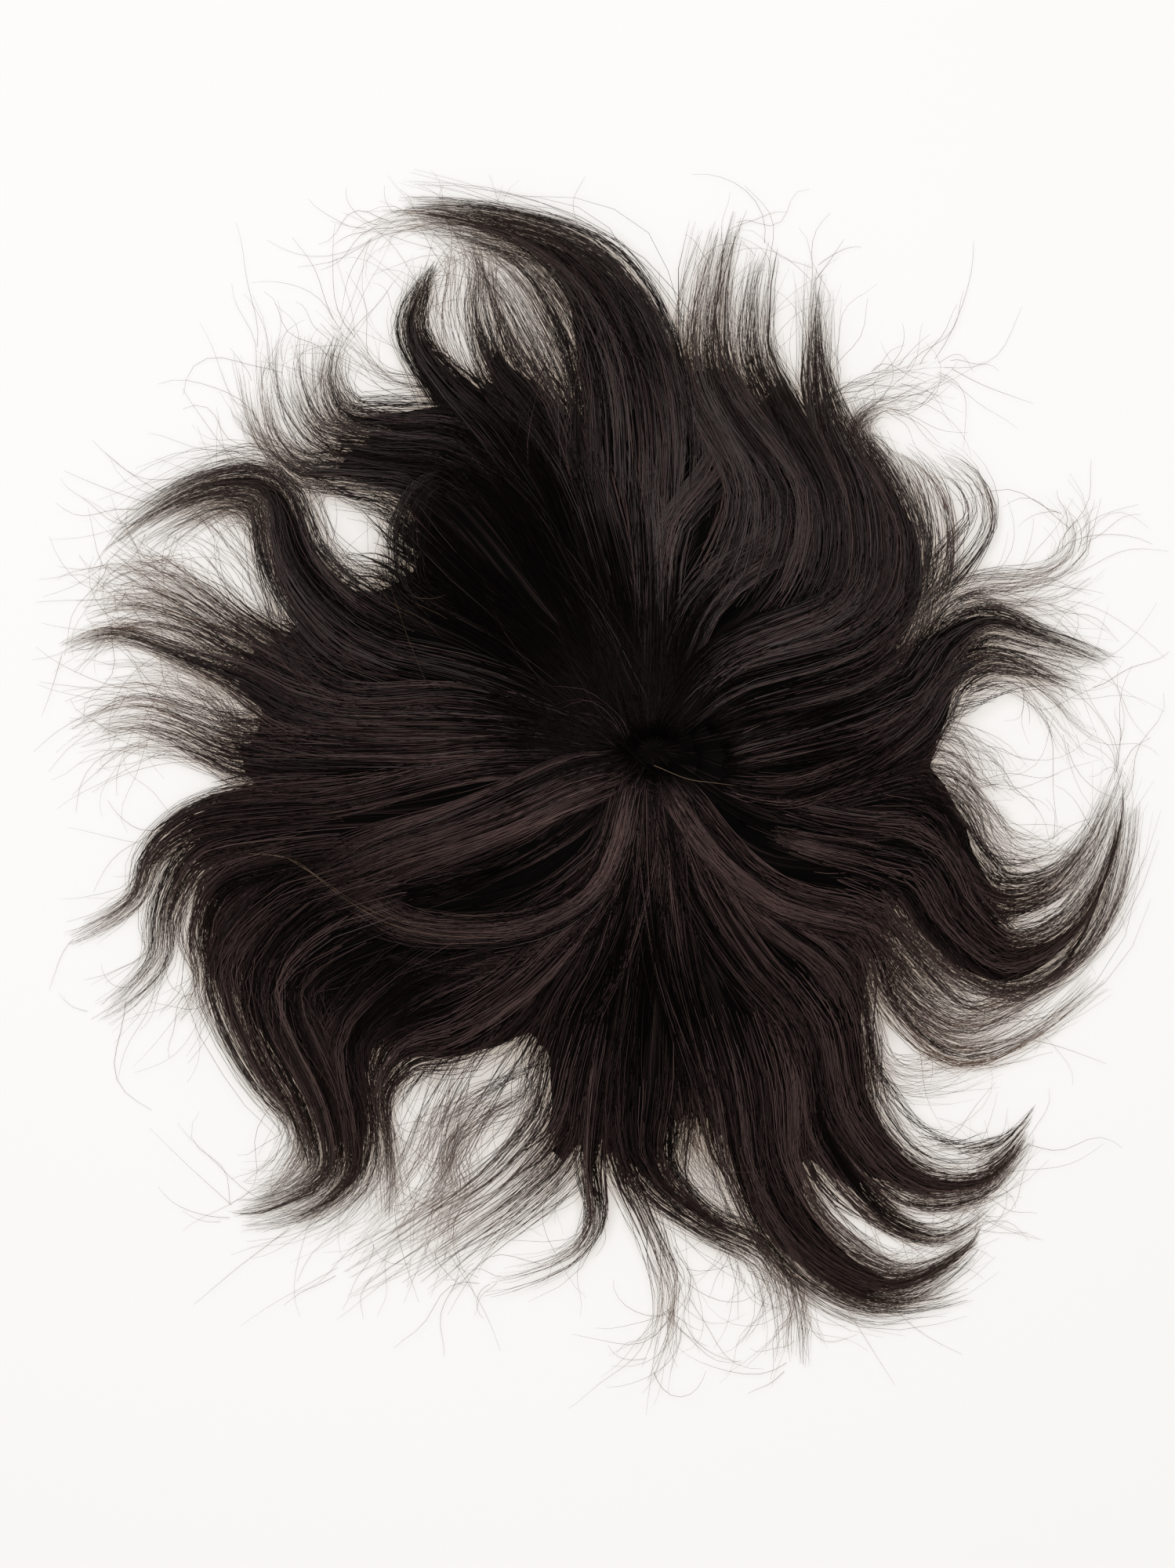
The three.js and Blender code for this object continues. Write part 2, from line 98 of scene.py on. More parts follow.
# The locks. A lock rises from the whorl, leaves the dense hair, bends, turns, runs and ends in its tip.
# Its row gives those places, its full width at leave, turn, run and tip, its full thickness, the part
# of its length that has a dense core, and the station to which the hair between it and the next lock
# stays joined. Stations count from the start: rise 1, leave 2, bend 3, turn 4, run 5, tip 6.
LOCK_COLUMNS = ("name", "rise", "leave", "bend", "turn", "run", "tip", "widths", "thick", "core", "joined")
LOCKS = {
    "hair_front_right": (
        ("tongue", (-1, 60), (1, 115), (-4, 153), (-18, 181), (-43, 199), (-84, 208),
         (48, 42, 22, 9), 12, 0.72, 2.5),
        ("lining", (-12, 62), (-33, 130), (-49, 151), (-56, 172), (-58, 188), (-63, 200),
         (14, 12, 8, 5), 7, 0.25, 3.1),
        ("sweep_first", (16, 40), (38, 70), (45, 102), (28, 138), (24, 160), (33, 198),
         (26, 17, 14, 8), 8, 0.4, 3.7),
        ("sweep_inner", (30, 38), (56, 66), (62, 100), (38, 138), (32, 160), (38, 200),
         (20, 16, 14, 5), 9, 0.5, 4.5),
        ("sweep_middle", (40, 38), (72, 62), (76, 96), (56, 134), (47, 156), (51, 190),
         (22, 16, 14, 8), 10, 0.5, 4.3),
        ("sweep_outer", (48, 37), (86, 62), (88, 98), (75, 130), (71, 155), (70, 182),
         (22, 14, 8, 5), 10, 0.5, 4.3),
        ("temple", (54, 29), (99, 56), (104, 83), (95, 107), (86, 124), (97, 134),
         (22, 14, 8, 4), 9, 0.5, 2.5),
        ("temple_curl", (58, 27), (110, 60), (118, 78), (116, 98), (108, 112), (98, 120),
         (12, 9, 7, 3), 7, 0, 3.5),
        ("temple_loop", (60, 25), (115, 66), (126, 77), (134, 90), (130, 104), (117, 115),
         (10, 11, 9, 4), 6, 0, 3.2),
    ),
    "hair_front_left": (
        ("hook_small", (-18, 62), (-52, 120), (-72, 142), (-84, 162), (-81, 178), (-76, 188),
         (20, 11, 6, 3), 8, 0.7, 2.35),
        ("cheek_upper", (-22, 62), (-62, 124), (-90, 128), (-108, 131), (-114, 145), (-111, 161),
         (18, 12, 8, 4), 8, 0.4, 3.2),
        ("cheek_middle", (-28, 58), (-66, 112), (-96, 117), (-119, 122), (-129, 138), (-131, 160),
         (20, 14, 13, 10), 7, 0.3, 3.4),
        ("cheek_lower", (-35, 55), (-78, 103), (-105, 108), (-126, 110), (-138, 124), (-142, 150),
         (18, 12, 10, 7), 6, 0.35, 2.27),
        ("hook", (-50, 28), (-104, 48), (-127, 72), (-139, 102), (-165, 102), (-198, 82),
         (30, 20, 14, 9), 12, 0.6, 2.85),
        ("streak_upper", (-55, 20), (-120, 32), (-142, 43), (-162, 57), (-178, 68), (-196, 80),
         (16, 10, 12, 8), 4.4, 0.15, 3.1),
        ("streak_middle", (-58, 15), (-124, 25), (-147, 38), (-168, 49), (-186, 54), (-206, 52),
         (18, 9, 10, 8), 4.4, 0.15, 3.1),
        ("streak_lower", (-60, 11), (-126, 18), (-150, 31), (-170, 39), (-196, 47), (-216, 41),
         (20, 10, 6, 3), 7, 0.3, 2.7),
        ("fan", (-60, 4), (-128, 3), (-152, 5), (-172, 13), (-190, 17), (-212, 10),
         (28, 18, 18, 12), 4.6, 0.15, 2.8),
    ),
    "hair_back_left": (
        ("rim_outer", (-60, -14), (-135, -21), (-167, -25), (-184, -38), (-190, -55), (-213, -69),
         (22, 10, 6, 3), 7, 0.3, 3.0),
        ("rim_middle", (-56, -22), (-135, -29), (-166, -37), (-178, -58), (-181, -78), (-202, -97),
         (18, 12, 8, 4), 8, 0.3, 3.2),
        ("rim_inner", (-50, -29), (-128, -38), (-158, -48), (-166, -68), (-163, -86), (-175, -103),
         (16, 11, 8, 5), 8, 0.3, 3.3),
        ("wave_outer", (-42, -36), (-128, -50), (-156, -80), (-142, -122), (-126, -144), (-140, -167),
         (20, 12, 9, 6), 8, 0.35, 3.3),
        ("wave", (-34, -44), (-112, -62), (-136, -88), (-118, -134), (-116, -160), (-148, -175),
         (36, 24, 18, 10), 12, 0.65, 4.6),
        ("wave_inner", (-24, -48), (-84, -85), (-107, -108), (-104, -140), (-106, -160), (-127, -177),
         (24, 16, 12, 7), 10, 0.7, 3.4),
        ("crescent", (-15, -55), (-62, -104), (-86, -112), (-96, -128), (-93, -148), (-92, -175),
         (22, 9, 6, 4), 7, 0.4, 2.2),
        ("veil", (-10, -52), (-46, -102), (-59, -122), (-69, -140), (-76, -158), (-90, -176),
         (22, 24, 24, 16), 2.2, 0, 2.15),
    ),
    "hair_back": (
        ("back_sweep", (-4, -58), (-24, -115), (-31, -140), (-52, -163), (-75, -178), (-108, -199),
         (20, 18, 18, 16), 5, 0.2, 3.2),
        ("back_fan", (-2, -62), (-18, -125), (-24, -152), (-42, -171), (-60, -183), (-80, -198),
         (16, 14, 18, 18), 4.5, 0.12, 2.9),
        ("back_spike", (0, -60), (-13, -120), (-16, -155), (-14, -178), (-24, -191), (-52, -200),
         (12, 6, 5, 3), 6, 0.35, 3.0),
        ("back_tail", (3, -60), (-4, -120), (-4, -155), (9, -186), (14, -208), (6, -236),
         (14, 8, 7, 5), 2.0, 0.2, 3.1),
        ("nape_edge", (8, -60), (6, -122), (6, -155), (28, -177), (54, -191), (63, -228),
         (28, 12, 12, 10), 8, 0.4, 2.7),
        ("nape_fan", (20, -58), (42, -118), (50, -165), (66, -192), (92, -209), (125, -205),
         (26, 18, 12, 6), 9, 0.6, 5),
        ("nape_sweep", (24, -56), (48, -120), (53, -158), (72, -186), (102, -201), (130, -186),
         (26, 22, 16, 6), 11, 0.75, 3.5),
        ("nape_under", (30, -56), (66, -112), (73, -145), (96, -175), (118, -183), (136, -172),
         (14, 8, 9, 6), 7, 0.5, 3.8),
        ("nape_hook", (34, -54), (75, -98), (84, -136), (108, -162), (134, -162), (150, -147),
         (24, 20, 13, 5), 10, 0.75, 2.35),
    ),
    "hair_right": (
        ("swoosh_rim", (39, -51), (87, -68), (100, -95), (125, -114), (152, -106), (176, -85),
         (12, 8, 6, 4), 6, 0, 2.6),
        ("swoosh_lower", (44, -46), (90, -60), (105, -85), (128, -101), (152, -91), (172, -75),
         (20, 14, 10, 5), 5.5, 0, 2.6),
        ("swoosh", (50, -36), (108, -42), (122, -62), (144, -79), (172, -64), (188, -22),
         (34, 28, 18, 6), 12, 0.8, 3.9),
        ("swoosh_inner", (54, -24), (112, -22), (126, -40), (142, -53), (165, -46), (187, -6),
         (26, 15, 10, 4), 8, 0.5, 2.35),
        ("ear_lower", (58, -13), (108, 12), (121, 29), (137, 37), (155, 33), (172, 26),
         (24, 11, 8, 5), 7, 0.4, 2.8),
        ("ear_upper", (54, 12), (106, 25), (120, 43), (136, 52), (156, 46), (181, 37),
         (20, 14, 12, 8), 9, 0.6, 2.3),
    ),
}

# Thin wisps between and beyond the locks. Columns: name, the places of the middle line, width, strands.
WISPS = {
    "hair_front_right": (
        ("tongue_sheet", ((-45, 125), (-62, 150), (-67, 170), (-66, 190), (-75, 200)), 14, 40),
        ("tongue_end", ((-50, 199), (-72, 204), (-90, 204), (-104, 198)), 8, 24),
        ("temple_low", ((80, 122), (96, 134), (110, 132)), 6, 12),
        ("temple_high", ((70, 130), (82, 140), (100, 145), (130, 152)), 8, 14),
    ),
    "hair_front_left": (
        ("cheek_wisp", ((-66, 135), (-80, 140), (-95, 145), (-106, 156), (-120, 170)), 8, 22),
        ("cheek_outer", ((-110, 112), (-130, 115), (-143, 124), (-148, 135)), 8, 20),
        ("hole_edge", ((-80, 50), (-100, 55), (-112, 63), (-118, 80), (-125, 98), (-135, 107)), 8, 30),
        ("hole_arch", ((-60, 95), (-85, 106), (-105, 107), (-125, 104)), 7, 26),
        ("hole_hanging", ((-90, 106), (-98, 93), (-101, 78), (-100, 64), (-94, 55)), 16, 6),
        ("hook_inside", ((-134, 52), (-138, 70), (-140, 84), (-145, 93), (-153, 97), (-164, 94),
         (-176, 88), (-190, 81)), 12, 76),
        ("hook_haze", ((-138, 46), (-146, 60), (-156, 74), (-168, 84), (-180, 86)), 34, 50),
        ("streak_fan", ((-148, 46), (-162, 56), (-177, 66), (-195, 68), (-206, 60)), 16, 34),
        ("streak_gap", ((-146, 36), (-160, 42), (-176, 52), (-192, 56), (-208, 50)), 16, 26),
        ("streak_thin", ((-135, 5), (-151, 11), (-157, 20), (-165, 27), (-178, 31), (-205, 31)), 9, 34),
        ("fan_low", ((-120, -8), (-145, -8), (-160, -2), (-175, 6), (-190, 9), (-215, 5)), 12, 32),
        ("fan_high", ((-136, 8), (-150, 14), (-164, 24), (-180, 29), (-202, 27)), 14, 26),
    ),
    "hair_back_left": (
        ("veil_edge", ((-33, -116), (-45, -128), (-60, -137), (-68, -150), (-73, -167)), 20, 36),
        ("veil_wide", ((-64, -110), (-71, -126), (-76, -140), (-82, -156), (-93, -174), (-108, -194)), 22,
         32),
        ("veil_first", ((-30, -124), (-47, -131), (-58, -139), (-68, -148), (-71, -160), (-80, -174)), 5,
         26),
        ("veil_second", ((-34, -118), (-52, -125), (-66, -134), (-77, -141), (-84, -154)), 5, 22),
        ("veil_low", ((-60, -140), (-68, -152), (-66, -166), (-74, -180), (-70, -196)), 12, 24),
    ),
    "hair_back": (
        ("tail_first", ((9, -172), (10, -190), (11, -205), (10, -218), (2, -233)), 6, 8),
        ("tail_second", ((12, -170), (16, -190), (20, -200), (17, -215), (14, -230)), 6, 8),
        ("hole_hair", ((22, -112), (28, -132), (34, -152), (41, -172)), 20, 80),
        ("nape_streak", ((12, -115), (15, -130), (22, -150), (32, -165), (42, -175)), 8, 30),
        ("hanging_first", ((34, -172), (40, -190), (48, -205)), 6, 12),
        ("hanging_second", ((46, -178), (55, -195), (58, -215)), 6, 14),
        ("hanging_third", ((54, -182), (63, -200), (65, -215), (62, -228)), 6, 14),
    ),
    "hair_right": (
        ("swoosh_under", ((78, -60), (94, -77), (108, -95), (122, -106), (138, -104), (158, -91)), 18,
         76),
        ("nape_side", ((84, -70), (89, -96), (95, -116), (106, -122), (124, -120), (142, -112)), 14, 36),
        ("frizz_high", ((108, 8), (122, 6), (133, -3), (138, -16)), 16, 44),
        ("frizz_low", ((106, -2), (120, -6), (132, -15), (147, -20)), 16, 44),
        ("nape_edge", ((82, -84), (88, -100), (90, -125), (95, -140), (105, -152), (120, -158)), 12, 40),
        ("swoosh_thin", ((98, -2), (110, -8), (122, -12), (133, -22), (142, -33), (152, -38), (162, -36),
         (170, -28)), 12, 44),
        ("ear_high", ((96, 32), (108, 40), (120, 55), (133, 60), (148, 60), (162, 62), (180, 72)), 9, 40),
        ("ear_up", ((100, 45), (112, 55), (122, 63), (135, 67), (150, 68), (162, 72), (169, 80),
         (168, 92), (160, 102)), 9, 40),
        ("ear_low", ((112, 18), (125, 25), (138, 30), (150, 28), (160, 20), (168, 8), (175, 0)), 9, 30),
    ),
}

# Sheets of hair that run from the crown over the dense hair. Columns: name, the places of the middle line,
# width, strands, tone from 0 for black to 1 for pale, partly the hair's own tone and partly painted sheen,
# and rise over the drape.
SHEETS = {
    "hair_front_right": (
        ("tongue_left", ((2, 14), (0, 34), (-3, 58), (-9, 82), (-15, 104), (-20, 124), (-28, 146),
         (-37, 164), (-46, 180), (-60, 194)), 15, 130, 0.54, 0),
        ("tongue_right", ((6, 15), (7, 36), (8, 60), (7, 84), (5, 106), (2, 126), (-7, 148)), 15, 130,
         0.6, 0),
        ("tongue_outer", ((15, 98), (15, 124), (13, 146), (3, 168), (-11, 184), (-27, 193), (-44, 198),
         (-64, 202)), 14, 150, 0.58, 0),
        ("sweep_short", ((9, 16), (11, 40), (12, 66), (16, 88), (26, 101), (33, 111), (35, 124),
         (30, 140)), 14, 110, 0.62, 0),
        ("sweep_inside", ((12, 16), (18, 40), (26, 58), (39, 71), (53, 80), (62, 91), (67, 104),
         (67, 118), (60, 136)), 17, 150, 0.58, 0),
        ("sweep_wide", ((15, 15), (26, 30), (38, 40), (53, 47), (72, 54), (84, 63), (90, 79), (90, 98),
         (84, 118), (76, 136)), 15, 160, 0.55, 0.5),
        ("sweep_rim", ((18, 14), (30, 25), (43, 32), (62, 37), (82, 43), (96, 53), (104, 70), (104, 88),
         (98, 104), (88, 122)), 13, 130, 0.6, 1),
    ),
    "hair_front_left": (
        ("brow_left", ((-1, 13), (-6, 36), (-14, 64), (-22, 92), (-32, 114), (-46, 131), (-62, 144)), 16,
         110, 0.37, 0),
        ("cheek_over", ((-3, 12), (-12, 34), (-24, 60), (-37, 86), (-51, 102), (-67, 111), (-86, 115),
         (-106, 113)), 15, 120, 0.4, 0),
        ("hole_side", ((-6, 11), (-20, 28), (-36, 46), (-53, 61), (-68, 74), (-79, 86), (-87, 95),
         (-98, 101), (-114, 105)), 16, 130, 0.4, 0),
        ("hole_rim", ((-70, 107), (-79, 101), (-84, 89), (-85, 78), (-83, 66), (-72, 55)), 15, 100, 0.38,
         0),
        ("dark_left", ((-8, 10), (-24, 24), (-42, 38), (-60, 49), (-76, 57), (-88, 67), (-92, 78)), 14,
         90, 0.3, 0),
        ("left_upper", ((-9, 8), (-28, 18), (-48, 28), (-71, 35), (-85, 38), (-99, 42), (-111, 50),
         (-118, 60), (-124, 74)), 13, 100, 0.52, 0),
        ("left_second", ((-10, 6), (-30, 13), (-50, 19), (-71, 22), (-90, 21), (-109, 21), (-123, 28),
         (-132, 38), (-136, 48), (-137, 62)), 13, 110, 0.54, 0),
        ("left_third", ((-10, 4), (-32, 9), (-54, 11), (-75, 12), (-95, 12), (-114, 13), (-128, 17),
         (-142, 26), (-158, 38)), 11, 100, 0.54, 0),
        ("left_fourth", ((-10, 1), (-32, 4), (-56, 4), (-76, 2), (-99, 2), (-123, 3), (-142, 8),
         (-158, 16)), 11, 100, 0.52, 0),
    ),
    "hair_back_left": (
        ("left_fifth", ((-10, -3), (-36, -2), (-60, -4), (-85, -10), (-104, -15), (-123, -18),
         (-144, -18), (-164, -24)), 11, 100, 0.52, 0),
        ("left_sheet", ((-8, -6), (-20, -9), (-34, -15), (-52, -23), (-71, -30), (-90, -36), (-106, -43),
         (-124, -52)), 22, 230, 0.68, 1.5),
        ("left_under", ((-6, -9), (-16, -18), (-30, -29), (-46, -38), (-66, -46), (-86, -51),
         (-106, -57)), 14, 90, 0.34, -0.5),
        ("smile_inner", ((-4, -10), (-8, -22), (-14, -35), (-23, -44), (-34, -52), (-47, -59),
         (-62, -63)), 8, 60, 0.5, 0.5),
        ("smile", ((-1, -11), (-4, -26), (-9, -42), (-16, -52), (-28, -60), (-42, -65), (-61, -67),
         (-80, -66), (-93, -62), (-106, -54), (-122, -44)), 12, 160, 0.56, 1.5),
        ("smile_lower", ((1, -12), (-2, -34), (-9, -54), (-20, -66), (-36, -75), (-56, -80), (-78, -80),
         (-98, -76)), 12, 110, 0.44, 0.5),
        ("wave_over", ((-84, -50), (-106, -56), (-119, -66), (-126, -80), (-128, -94), (-125, -113),
         (-119, -132), (-117, -148)), 20, 150, 0.55, 1),
        ("wave_slope", ((-50, -76), (-76, -86), (-95, -96), (-108, -106), (-112, -122), (-107, -142)), 18,
         130, 0.42, 0.5),
        ("hole_brow", ((-8, -40), (-18, -58), (-30, -72), (-42, -84), (-54, -93), (-68, -101),
         (-82, -106), (-94, -112), (-99, -124)), 15, 130, 0.48, 0.5),
    ),
    "hair_back": (
        ("back_left", ((3, -12), (0, -34), (-4, -56), (-11, -78), (-21, -96), (-26, -112), (-32, -134)),
         19, 130, 0.41, 0),
        ("back_middle", ((6, -12), (6, -34), (4, -58), (0, -82), (-4, -106), (-7, -130), (-8, -156)), 20,
         140, 0.38, 0),
        ("back_right", ((9, -12), (11, -34), (13, -58), (17, -82), (24, -106), (31, -128), (38, -150)),
         20, 140, 0.4, 0),
        ("nape_slope", ((12, -13), (18, -32), (26, -52), (37, -70), (49, -86), (60, -98), (66, -112),
         (69, -126), (75, -146)), 22, 170, 0.48, 0),
        ("nape_rim", ((15, -14), (26, -34), (42, -53), (60, -68), (74, -78), (82, -90), (86, -106),
         (88, -122), (94, -138)), 13, 110, 0.46, 0),
    ),
    "hair_right": (
        ("swoosh_over", ((17, -13), (25, -24), (34, -36), (44, -45), (55, -53), (72, -59), (87, -62),
         (99, -69), (109, -80), (120, -89), (136, -91)), 16, 160, 0.56, 0.6),
        ("swoosh_upper", ((52, -30), (72, -36), (90, -40), (106, -48), (115, -63), (127, -77),
         (146, -80)), 14, 130, 0.5, 0),
        ("ear_under", ((36, -13), (53, -18), (72, -23), (91, -26), (108, -27), (118, -36), (124, -48),
         (131, -60), (144, -64)), 12, 110, 0.5, 0),
        ("ear_rise", ((33, -10), (46, -13), (62, -13), (78, -8), (92, -2), (106, 8), (116, 20)), 13, 120,
         0.54, 0.6),
        ("ear_over", ((34, -4), (54, 0), (72, 4), (91, 9), (106, 17), (119, 31), (128, 44), (142, 51)),
         11, 100, 0.46, 0),
        ("right_low", ((34, 2), (46, 6), (60, 10), (77, 16), (95, 24), (107, 35), (112, 50)), 11, 100,
         0.46, 0),
        ("right_high", ((28, 10), (43, 17), (62, 22), (82, 27), (97, 34), (106, 43), (111, 58),
         (112, 74)), 11, 110, 0.5, 0),
    ),
}

# Fine hairs that cross the crown, in the same columns as the sheets. A tone over 1 is a pale hair.
CROSSING = (
    ("crossing_left", ((20, -8), (10, 8), (-2, 24), (-14, 40), (-24, 58)), 34, 12, 0.62, 2),
    ("crossing_brow", ((-2, 14), (-16, 34), (-34, 56), (-54, 80)), 50, 40, 0.5, 1),
    ("crossing_low", ((-22, 2), (-6, -2), (8, -6), (22, -8)), 16, 24, 0.36, 1),
    ("tuft", ((-3, 3), (-10, 11), (-19, 15), (-30, 12)), 16, 24, 0.55, 1),
    ("pale_left", ((-146, -37), (-130, -38), (-110, -52), (-92, -63), (-70, -67), (-40, -65)), 0.6, 2,
     1.2, 3.5),
    ("pale_crown", ((8, -4), (20, -8), (30, -10), (42, -14)), 0.1, 1, 1.2, 3),
)
# The part of the painted shade and sheen that the fine crossing hairs take.
CROSSING_PAINTED_LIGHT = 0.45

# Where the hair stands higher or dips. Columns: place, radius, height.
RELIEF = (
    ((24, 0), 12, -7.0),
    ((42, -27), 11, -6.0),
    ((-52, -47), 14, -4.5),
    ((-84, -86), 13, -3.0),
    ((-46, -20), 22, 3.0),
    ((-46, -66), 14, 2.0),
    ((4, -20), 14, 2.0),
    ((66, 60), 26, 3.0),
    ((60, -12), 16, 2.0),
    ((-20, 50), 26, 2.0),
)

# Painted shade where the hair lies steeper and painted sheen where it lies flatter, as changes of tone.
# Columns: place, radius, change of tone.
PAINTED_SHADE_AND_SHEEN = (
    ((2, 26), 34, -0.7),
    ((26, -2), 12, -0.4),
    ((-46, 78), 40, -0.8),
    ((-34, 14), 26, -0.4),
    ((42, -27), 12, -0.3),
    ((-52, -47), 16, -0.27),
    ((-92, -88), 20, -0.26),
    ((8, -92), 32, -0.26),
    ((62, 14), 22, -0.16),
    ((0, 108), 30, 0.42),
    ((11, 12), 17, -0.42),
    ((82, 4), 22, -0.17),
    ((-121, -70), 24, -0.24),
    ((60, -50), 18, 0.1),
    ((74, 84), 30, 0.22),
    ((-60, -24), 26, 0.14),
    ((60, -76), 24, 0.1),
)

# The stations of a lock that other sizes count from, and the columns that are read on their own.
LEAVE, TIP = 2, 6
THICK, CORE, JOINED = (LOCK_COLUMNS.index(column) for column in ("thick", "core", "joined"))
FIRST_BEARING = 24.0

# The dense hair of a section: a bed with columns along its locks and between them. Levels are parts of a
# lock's half thickness, and lengths along a lock are stations.
BED_STATIONS = np.linspace(0.3, TIP, 52)
BED_SIDES = (-1, -0.5, 0, 0.5, 1)
BED_LEVELS = (-0.5, -0.2, -0.05, -0.2, -0.5)
SHARES_BEFORE, SHARES_AFTER, MIDDLE_SHARE = (0.65, 0.8, 0.92), (0.08, 0.2, 0.35, 0.5), 0.5
GAP_LEVEL = -0.6
DENSE_WIDTH, DENSE_LONGER = 0.76, 0.12
BED_TAPER, TAPER_FROM = 0.96, 0.52
WEB_HOLLOW, WEB_FILLET = 0.35, 0.1
WEB_FRAY, FRAY_TURNS = 0.08, 40.0
EDGE_BACK = 0.08
BED_DEEP, BED_LEAST = 60.0, 0.6
SLIM_SPAN, SLIM_DEPTH = (1.9, 2.5), 1.6
END_THIN, END_LONG = 0.95, 0.7
BED_MERGE, SPIN_MERGE = 1e-5, 1e-4

# All strands: points along a strand of each kind, and the part of a whole hair's length, from root to tip,
# that it shows.
LOCK_POINTS, WISP_POINTS, SHEET_POINTS = 11, 11, 11
BODY_POINTS, EDGE_POINTS, STRAY_POINTS = 7, 5, 9
ROOT_SPAN, LOCK_SPAN, TIP_SPAN = (0.02, 0.55), (0.3, 0.98), (0.6, 0.98)
STRAND_SIDES = np.radians((90, 210, 330))
CURVE_STEPS = 16
WANDER_RATES = (0.6, 1.4)
LOCK_SEED, BODY_SEED = 100, 7

# Tones run from 0 for black to 1 for pale, in columns of the strands' map. A strand's three sides lie
# at three places across its column, and the redder hairs have the second half of the map.
STRAND_MAP = "OFBake"
TONES = 64
SIDES_ON_MAP = np.array((0.2, 0.5, 0.8))
RED_LEAST, RED_MOST, RED_FROM, RED_TO = 0.25, 0.95, 70.0, -30.0
DARKEST, LIGHTEST_DENSE, BROWN, PALE = 0.01, 0.88, 0.96, 0.99
BANDS_LEAST, BROAD_BAND, STREAK_BAND = 3, 4.0, 1.3
# Streaks are partly the hair's own tone and partly painted sheen.
STREAK, STREAK_PARTS = 0.36, 5
# Each glint is a painted highlight along a hair.
GLINT_LENGTH, GLINT_RANGE = 0.14, (-0.5, 1)

# The guide of a lock, from its root at the whorl to a little past its tip.
ROOT_PART, PAST_TIP, PAST_CURL = 0.05, 0.45, 0.6
LOCK_WIDTHS_BEFORE = (0.35, 0.8)
LOCK_TAPER = np.array((0.3, 0.5, 1, 1, 0.9, 0.7, 0.4, 0.3))

# Hairs of a lock. They gather in clumps, from which some stay loose, and some end short.
STRANDS_LEAST, STRANDS_PER_MM, TYPICAL_THICK = 36, 5.6, 9.0
CLUMPS_LEAST, CLUMP_PITCH = 3, 2.2
CLUMP_REACH, CLUMP_SHIFT, CLUMP_LEAN = 0.9, 0.5, 2.0
CLUMP_PAST_TIP, CLUMP_SHORTER = 0.35, 0.5
CLUMP_TONE = (0.52, 0.24)
LOOSE_SHARE = 0.42
ROOT_SPREAD, LOOSE_ROOT, CLOSE_ROOT = 1.1, 0.5, 1.5
LOOSE_TIP, CLOSE_TIP = 0.55, 1.4
LOOSE_LEAN, CLOSE_LEAN = 7.0, 1.6
LOOSE_WAVE, CLOSE_WAVE, LOCK_WAVES = 0.9, 0.35, 1.2
LOCK_BEGIN, LOCK_LEAST, LOCK_SHORTER = (1.6, 2.5), 1.5, 0.6
SHORT_SHARE, SHORT_LEAST, SHORT_LONGER = 0.35, 0.6, 0.8
GATHER_SPAN, TIPWARD_SPAN = (2.0, 5.0), (3.2, 6.6)
SWAY, SWAY_RATE, SWAY_SPAN = 0.9, 1.7, (1.5, 4)
LOCK_WIDTHS, LOOSE_WIDTH, LOCK_THINNER = (0.75, 1.25), 0.75, (0.75, 3.5)
LOCK_LEVELS, SIDE_DROP, ROUND_LEAST = (-0.25, 0.95), 0.35, 0.05
LOCK_LOFT = 1.4
LOCK_TONE_SPREAD, LOCK_GLINT = 0.12, 0.3
# Past the dense core the hairs lighten towards brown: partly their own colour, partly painted light through
# thin hair.
THIN_FROM, THIN_TO = 0.2, 2.2
LOOSE_LIGHTER, CLOSE_LIGHTER = 0.46, 0.26

# How the hairs of wisps and of sheets run: how far they stray over the width, the size and number of their
# waves, how far they drift, the range of their widths, and how much and how late they taper.
Habit = namedtuple("Habit", "stray, wave, waves, drift, widths, thinner")
WISP_HABIT = Habit(stray=0.4, wave=1.3, waves=1.1, drift=4.0, widths=(0.6, 1.3), thinner=(0.7, 2))
SHEET_HABIT = Habit(stray=0.3, wave=0.8, waves=0.8, drift=2.0, widths=(0.7, 1.3), thinner=(0.7, 3))

# Hairs of a wisp, lighter away from its root: partly their own brown and partly painted light shining
# through the thin hair. Lengths are parts of the wisp's own.
WISP_ROOT_WIDTH, WISP_TIP_WIDTH, WISP_THICK = 0.6, 0.7, 3.0
WISP_BEGIN, WISP_END = (0, 0.3), (0.7, 1)
WISP_LEVELS, WISP_RISE = (-0.8, 0.8), 0.7
WISP_TONE, WISP_TONE_SPREAD, WISP_ROOT_TONE, WISP_LIGHTER = 0.93, 0.05, 0.4, (0.05, 0.5)

# Hairs of a sheet, with painted shade towards its root. Lengths are parts of the sheet's own.
SHEET_THICK, SHEET_WIDTHS_FIRST = 4.0, (0.5, 0.8)
ROOT_REACH, ROOT_CLOSE = 20.0, 0.35
SHEET_BEGIN, SHEET_SHORTER, SHEET_SHORTEST = 0.06, 0.1, 0.5
SHEET_LEVEL, LEVEL_BAND, LEVEL_SPREAD = 0.4, 0.4, 0.1
TONE_BAND, SHEET_TONE_SPREAD, SHEET_GLINT = 0.07, 0.24, 0.36
ROOT_FADE, ROOT_PAINTED_SHADE = 0.12, 0.3

# Hairs between two locks.
GAP_LEAST, FILL_LEAST, FILL_MORE = 6, 0.3, 0.5
BODY_FIRST, BODY_LENGTHS, BODY_BACK, BODY_PAST = 0.8, (0.5, 1.6), 0.2, 0.35
PART_BEFORE, PART_PAST = 0.4, 1.0
BODY_WAVE, BODY_WAVES, BODY_DRIFT = 1.0, 0.8, 1.5
BODY_WIDTHS, BODY_THINNER = (0.8, 1.3), (0.7, 3)
BODY_LIFT, BODY_LEVELS, ARCH_LEAST, ARCH_SPAN = 0.3, (0.1, 2.2), 0.4, (0.05, 0.95)
BODY_TONE = (0.45, 0.25)

